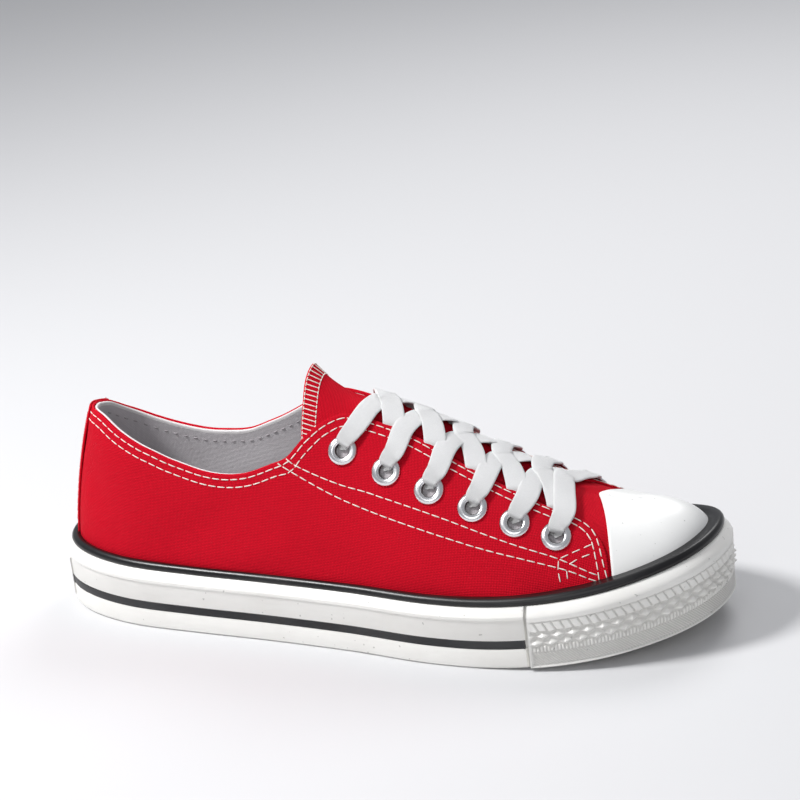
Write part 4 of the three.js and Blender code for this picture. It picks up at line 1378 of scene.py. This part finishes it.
def crossing(i, side, ridge_lift):
    """From inside eyelet i over the ridge and down under the far throat edge."""
    start = eyelet_first + i * eyelet_pitch
    first, change = eyelet_shares[side]
    own = first + i * change
    edge = float(edge_share(np.array(side * start)))
    far = start + 0.6
    far_edge = float(edge_share(np.array(-side * far)))
    rise, fall = 1 - edge, 1 - far_edge
    places = [
        (side * start, own + 0.068, -3.1), (side * (start + 0.002), own + 0.028, -1.4),
        (side * (start + 0.018), own + 0.036, flange_seat),
        (side * (start + 0.055), own + 0.062, flange_seat),
        (side * (start + 0.11), own + 0.1, lace_seat + 0.6),
        (side * (start + 0.19), edge - 0.008, lace_seat + 0.6),
        (side * (start + 0.27), edge + 0.34 * rise, 0.7),
        (side * (start + 0.345), edge + 0.64 * rise, 0.3 + 0.5 * ridge_lift),
        (side * (start + 0.405), edge + 0.88 * rise, 0.2 + 0.85 * ridge_lift),
        (side * (start + 0.45), 0.999, ridge_lift),
        (-side * (start + 0.505), far_edge + 0.85 * fall, 0.1 + 0.85 * ridge_lift),
        (-side * (start + 0.565), far_edge + 0.52 * fall, 0.4 + 0.4 * ridge_lift),
        (-side * far, far_edge + 0.035, 0.35),
        (-side * (far - 0.004), far_edge - 0.002, -1.3),
        (-side * (far - 0.015), far_edge - 0.06, -3.5),
        (-side * (far - 0.05), far_edge - 0.12, -3.9)]
    flat_places = len(places) - len(leaving_sizes)
    return ribbon(places, leaving_sizes + [flat_size] * flat_places)


# Height of the lower strand over the ridge at each crossing; the other lies on it
lower_lifts = [0.6, -0.3, -1.0, -1.4, -0.8]
strand_step = 1.15
for i in range(eyelet_count - 1):
    lace_piece(f"lace_strands_{i + 1}",
               [crossing(i, 1, lower_lifts[i]), crossing(i, -1, lower_lifts[i] + strand_step)],
               f"lace_crossing_{i + 1}")

bar_start = eyelet_first + (eyelet_count - 1) * eyelet_pitch
bar_lean = 0.2
bar_rise = 2.4
bar_legs = []
for side in (1, -1):
    first, change = eyelet_shares[side]
    own = first + (eyelet_count - 1) * change
    edge = float(edge_share(np.array(side * bar_start)))
    leg = [(side * bar_start, own + 0.068, -3.1), (side * (bar_start + 0.002), own + 0.028, -1.4),
           (side * (bar_start + 0.012), own + 0.036, flange_seat),
           (side * (bar_start + 0.04), own + 0.062, flange_seat),
           (side * (bar_start + 0.09), own + 0.1, 1.5),
           (side * (bar_start + 0.15), edge, 1.3 + 0.3 * side),
           (side * (bar_start + 0.19), edge + (1 - edge) * 0.6, 1.0 + 0.5 * side)]
    bar_legs.append(leg)
bar_path = bar_legs[0] + [(bar_start + bar_lean, 0.999, bar_rise)] + bar_legs[1][::-1]
bar_sizes = leaving_sizes + [flat_size] * 5 + leaving_sizes[::-1]
lace_piece("lace_bar_strand", [ribbon(bar_path, bar_sizes, 180)], "lace_bar")
bpy.data.objects.remove(thread)

# Studio
# A flat pale floor, three soft lights and the camera at the photograph's angle, rolled as the
# photograph is.

floor = bpy.data.meshes.new("studio_floor")
floor.from_pydata([(-4, -4, 0), (4, -4, 0), (4, 4, 0), (-4, 4, 0)], [], [(0, 1, 2, 3)])
floor_piece = bpy.data.objects.new("studio_floor", floor)
bpy.context.scene.collection.objects.link(floor_piece)
paper = Finish("studio paper", Base_Color=(0.62, 0.62, 0.63, 1), Roughness=0.85)
floor.materials.append(paper.material)

world = bpy.data.worlds.new("studio")
world.use_nodes = True
world.node_tree.nodes["Background"].inputs["Color"].default_value = (0.93, 0.95, 1.0, 1)
world.node_tree.nodes["Background"].inputs["Strength"].default_value = 0.4
bpy.context.scene.world = world


def soft_light(name, place, aim, size, watts):
    """A round area light at a place, turned to its aim."""
    lamp = bpy.data.lights.new(name, "AREA")
    lamp.shape = "DISK"
    lamp.size = size
    lamp.energy = watts
    made = bpy.data.objects.new(name, lamp)
    made.location = place
    made.rotation_euler = (Vector(aim) - Vector(place)).to_track_quat("-Z", "Y").to_euler()
    bpy.context.scene.collection.objects.link(made)


soft_light("key", (-0.6, -0.35, 0.95), (0.02, 0, 0.04), 0.3, 14)
soft_light("fill", (0.2, -1.1, 0.6), (0.05, 0, 0.04), 0.8, 2.5)
soft_light("back", (0.1, 0.8, 0.9), (0, 0, 0.05), 0.6, 5)

picture_width = 800
lens_in_pixels = 2469.78
camera_angles = (23.67, 20.78, -6.42)
camera_place = np.array([506.42, -808.73, 422.84])
lens = bpy.data.cameras.new("camera")
lens.sensor_width = 36
lens.lens = lens_in_pixels * lens.sensor_width / picture_width
camera = bpy.data.objects.new("camera", lens)
bpy.context.scene.collection.objects.link(camera)
azimuth, elevation, roll = (math.radians(angle) for angle in camera_angles)
back = Vector((math.sin(azimuth) * math.cos(elevation), -math.cos(azimuth) * math.cos(elevation),
               math.sin(elevation)))
level_right = Vector((math.cos(azimuth), math.sin(azimuth), 0))
level_up = back.cross(level_right)
right = level_right * math.cos(roll) + level_up * math.sin(roll)
up = level_up * math.cos(roll) - level_right * math.sin(roll)
turned = Matrix((right, up, back)).transposed().to_4x4()
turned.translation = (camera_place - footprint_middle) * 0.001
camera.matrix_world = turned
bpy.context.scene.camera = camera
bpy.context.scene.view_settings.view_transform = "Standard"
bpy.context.view_layer.update()
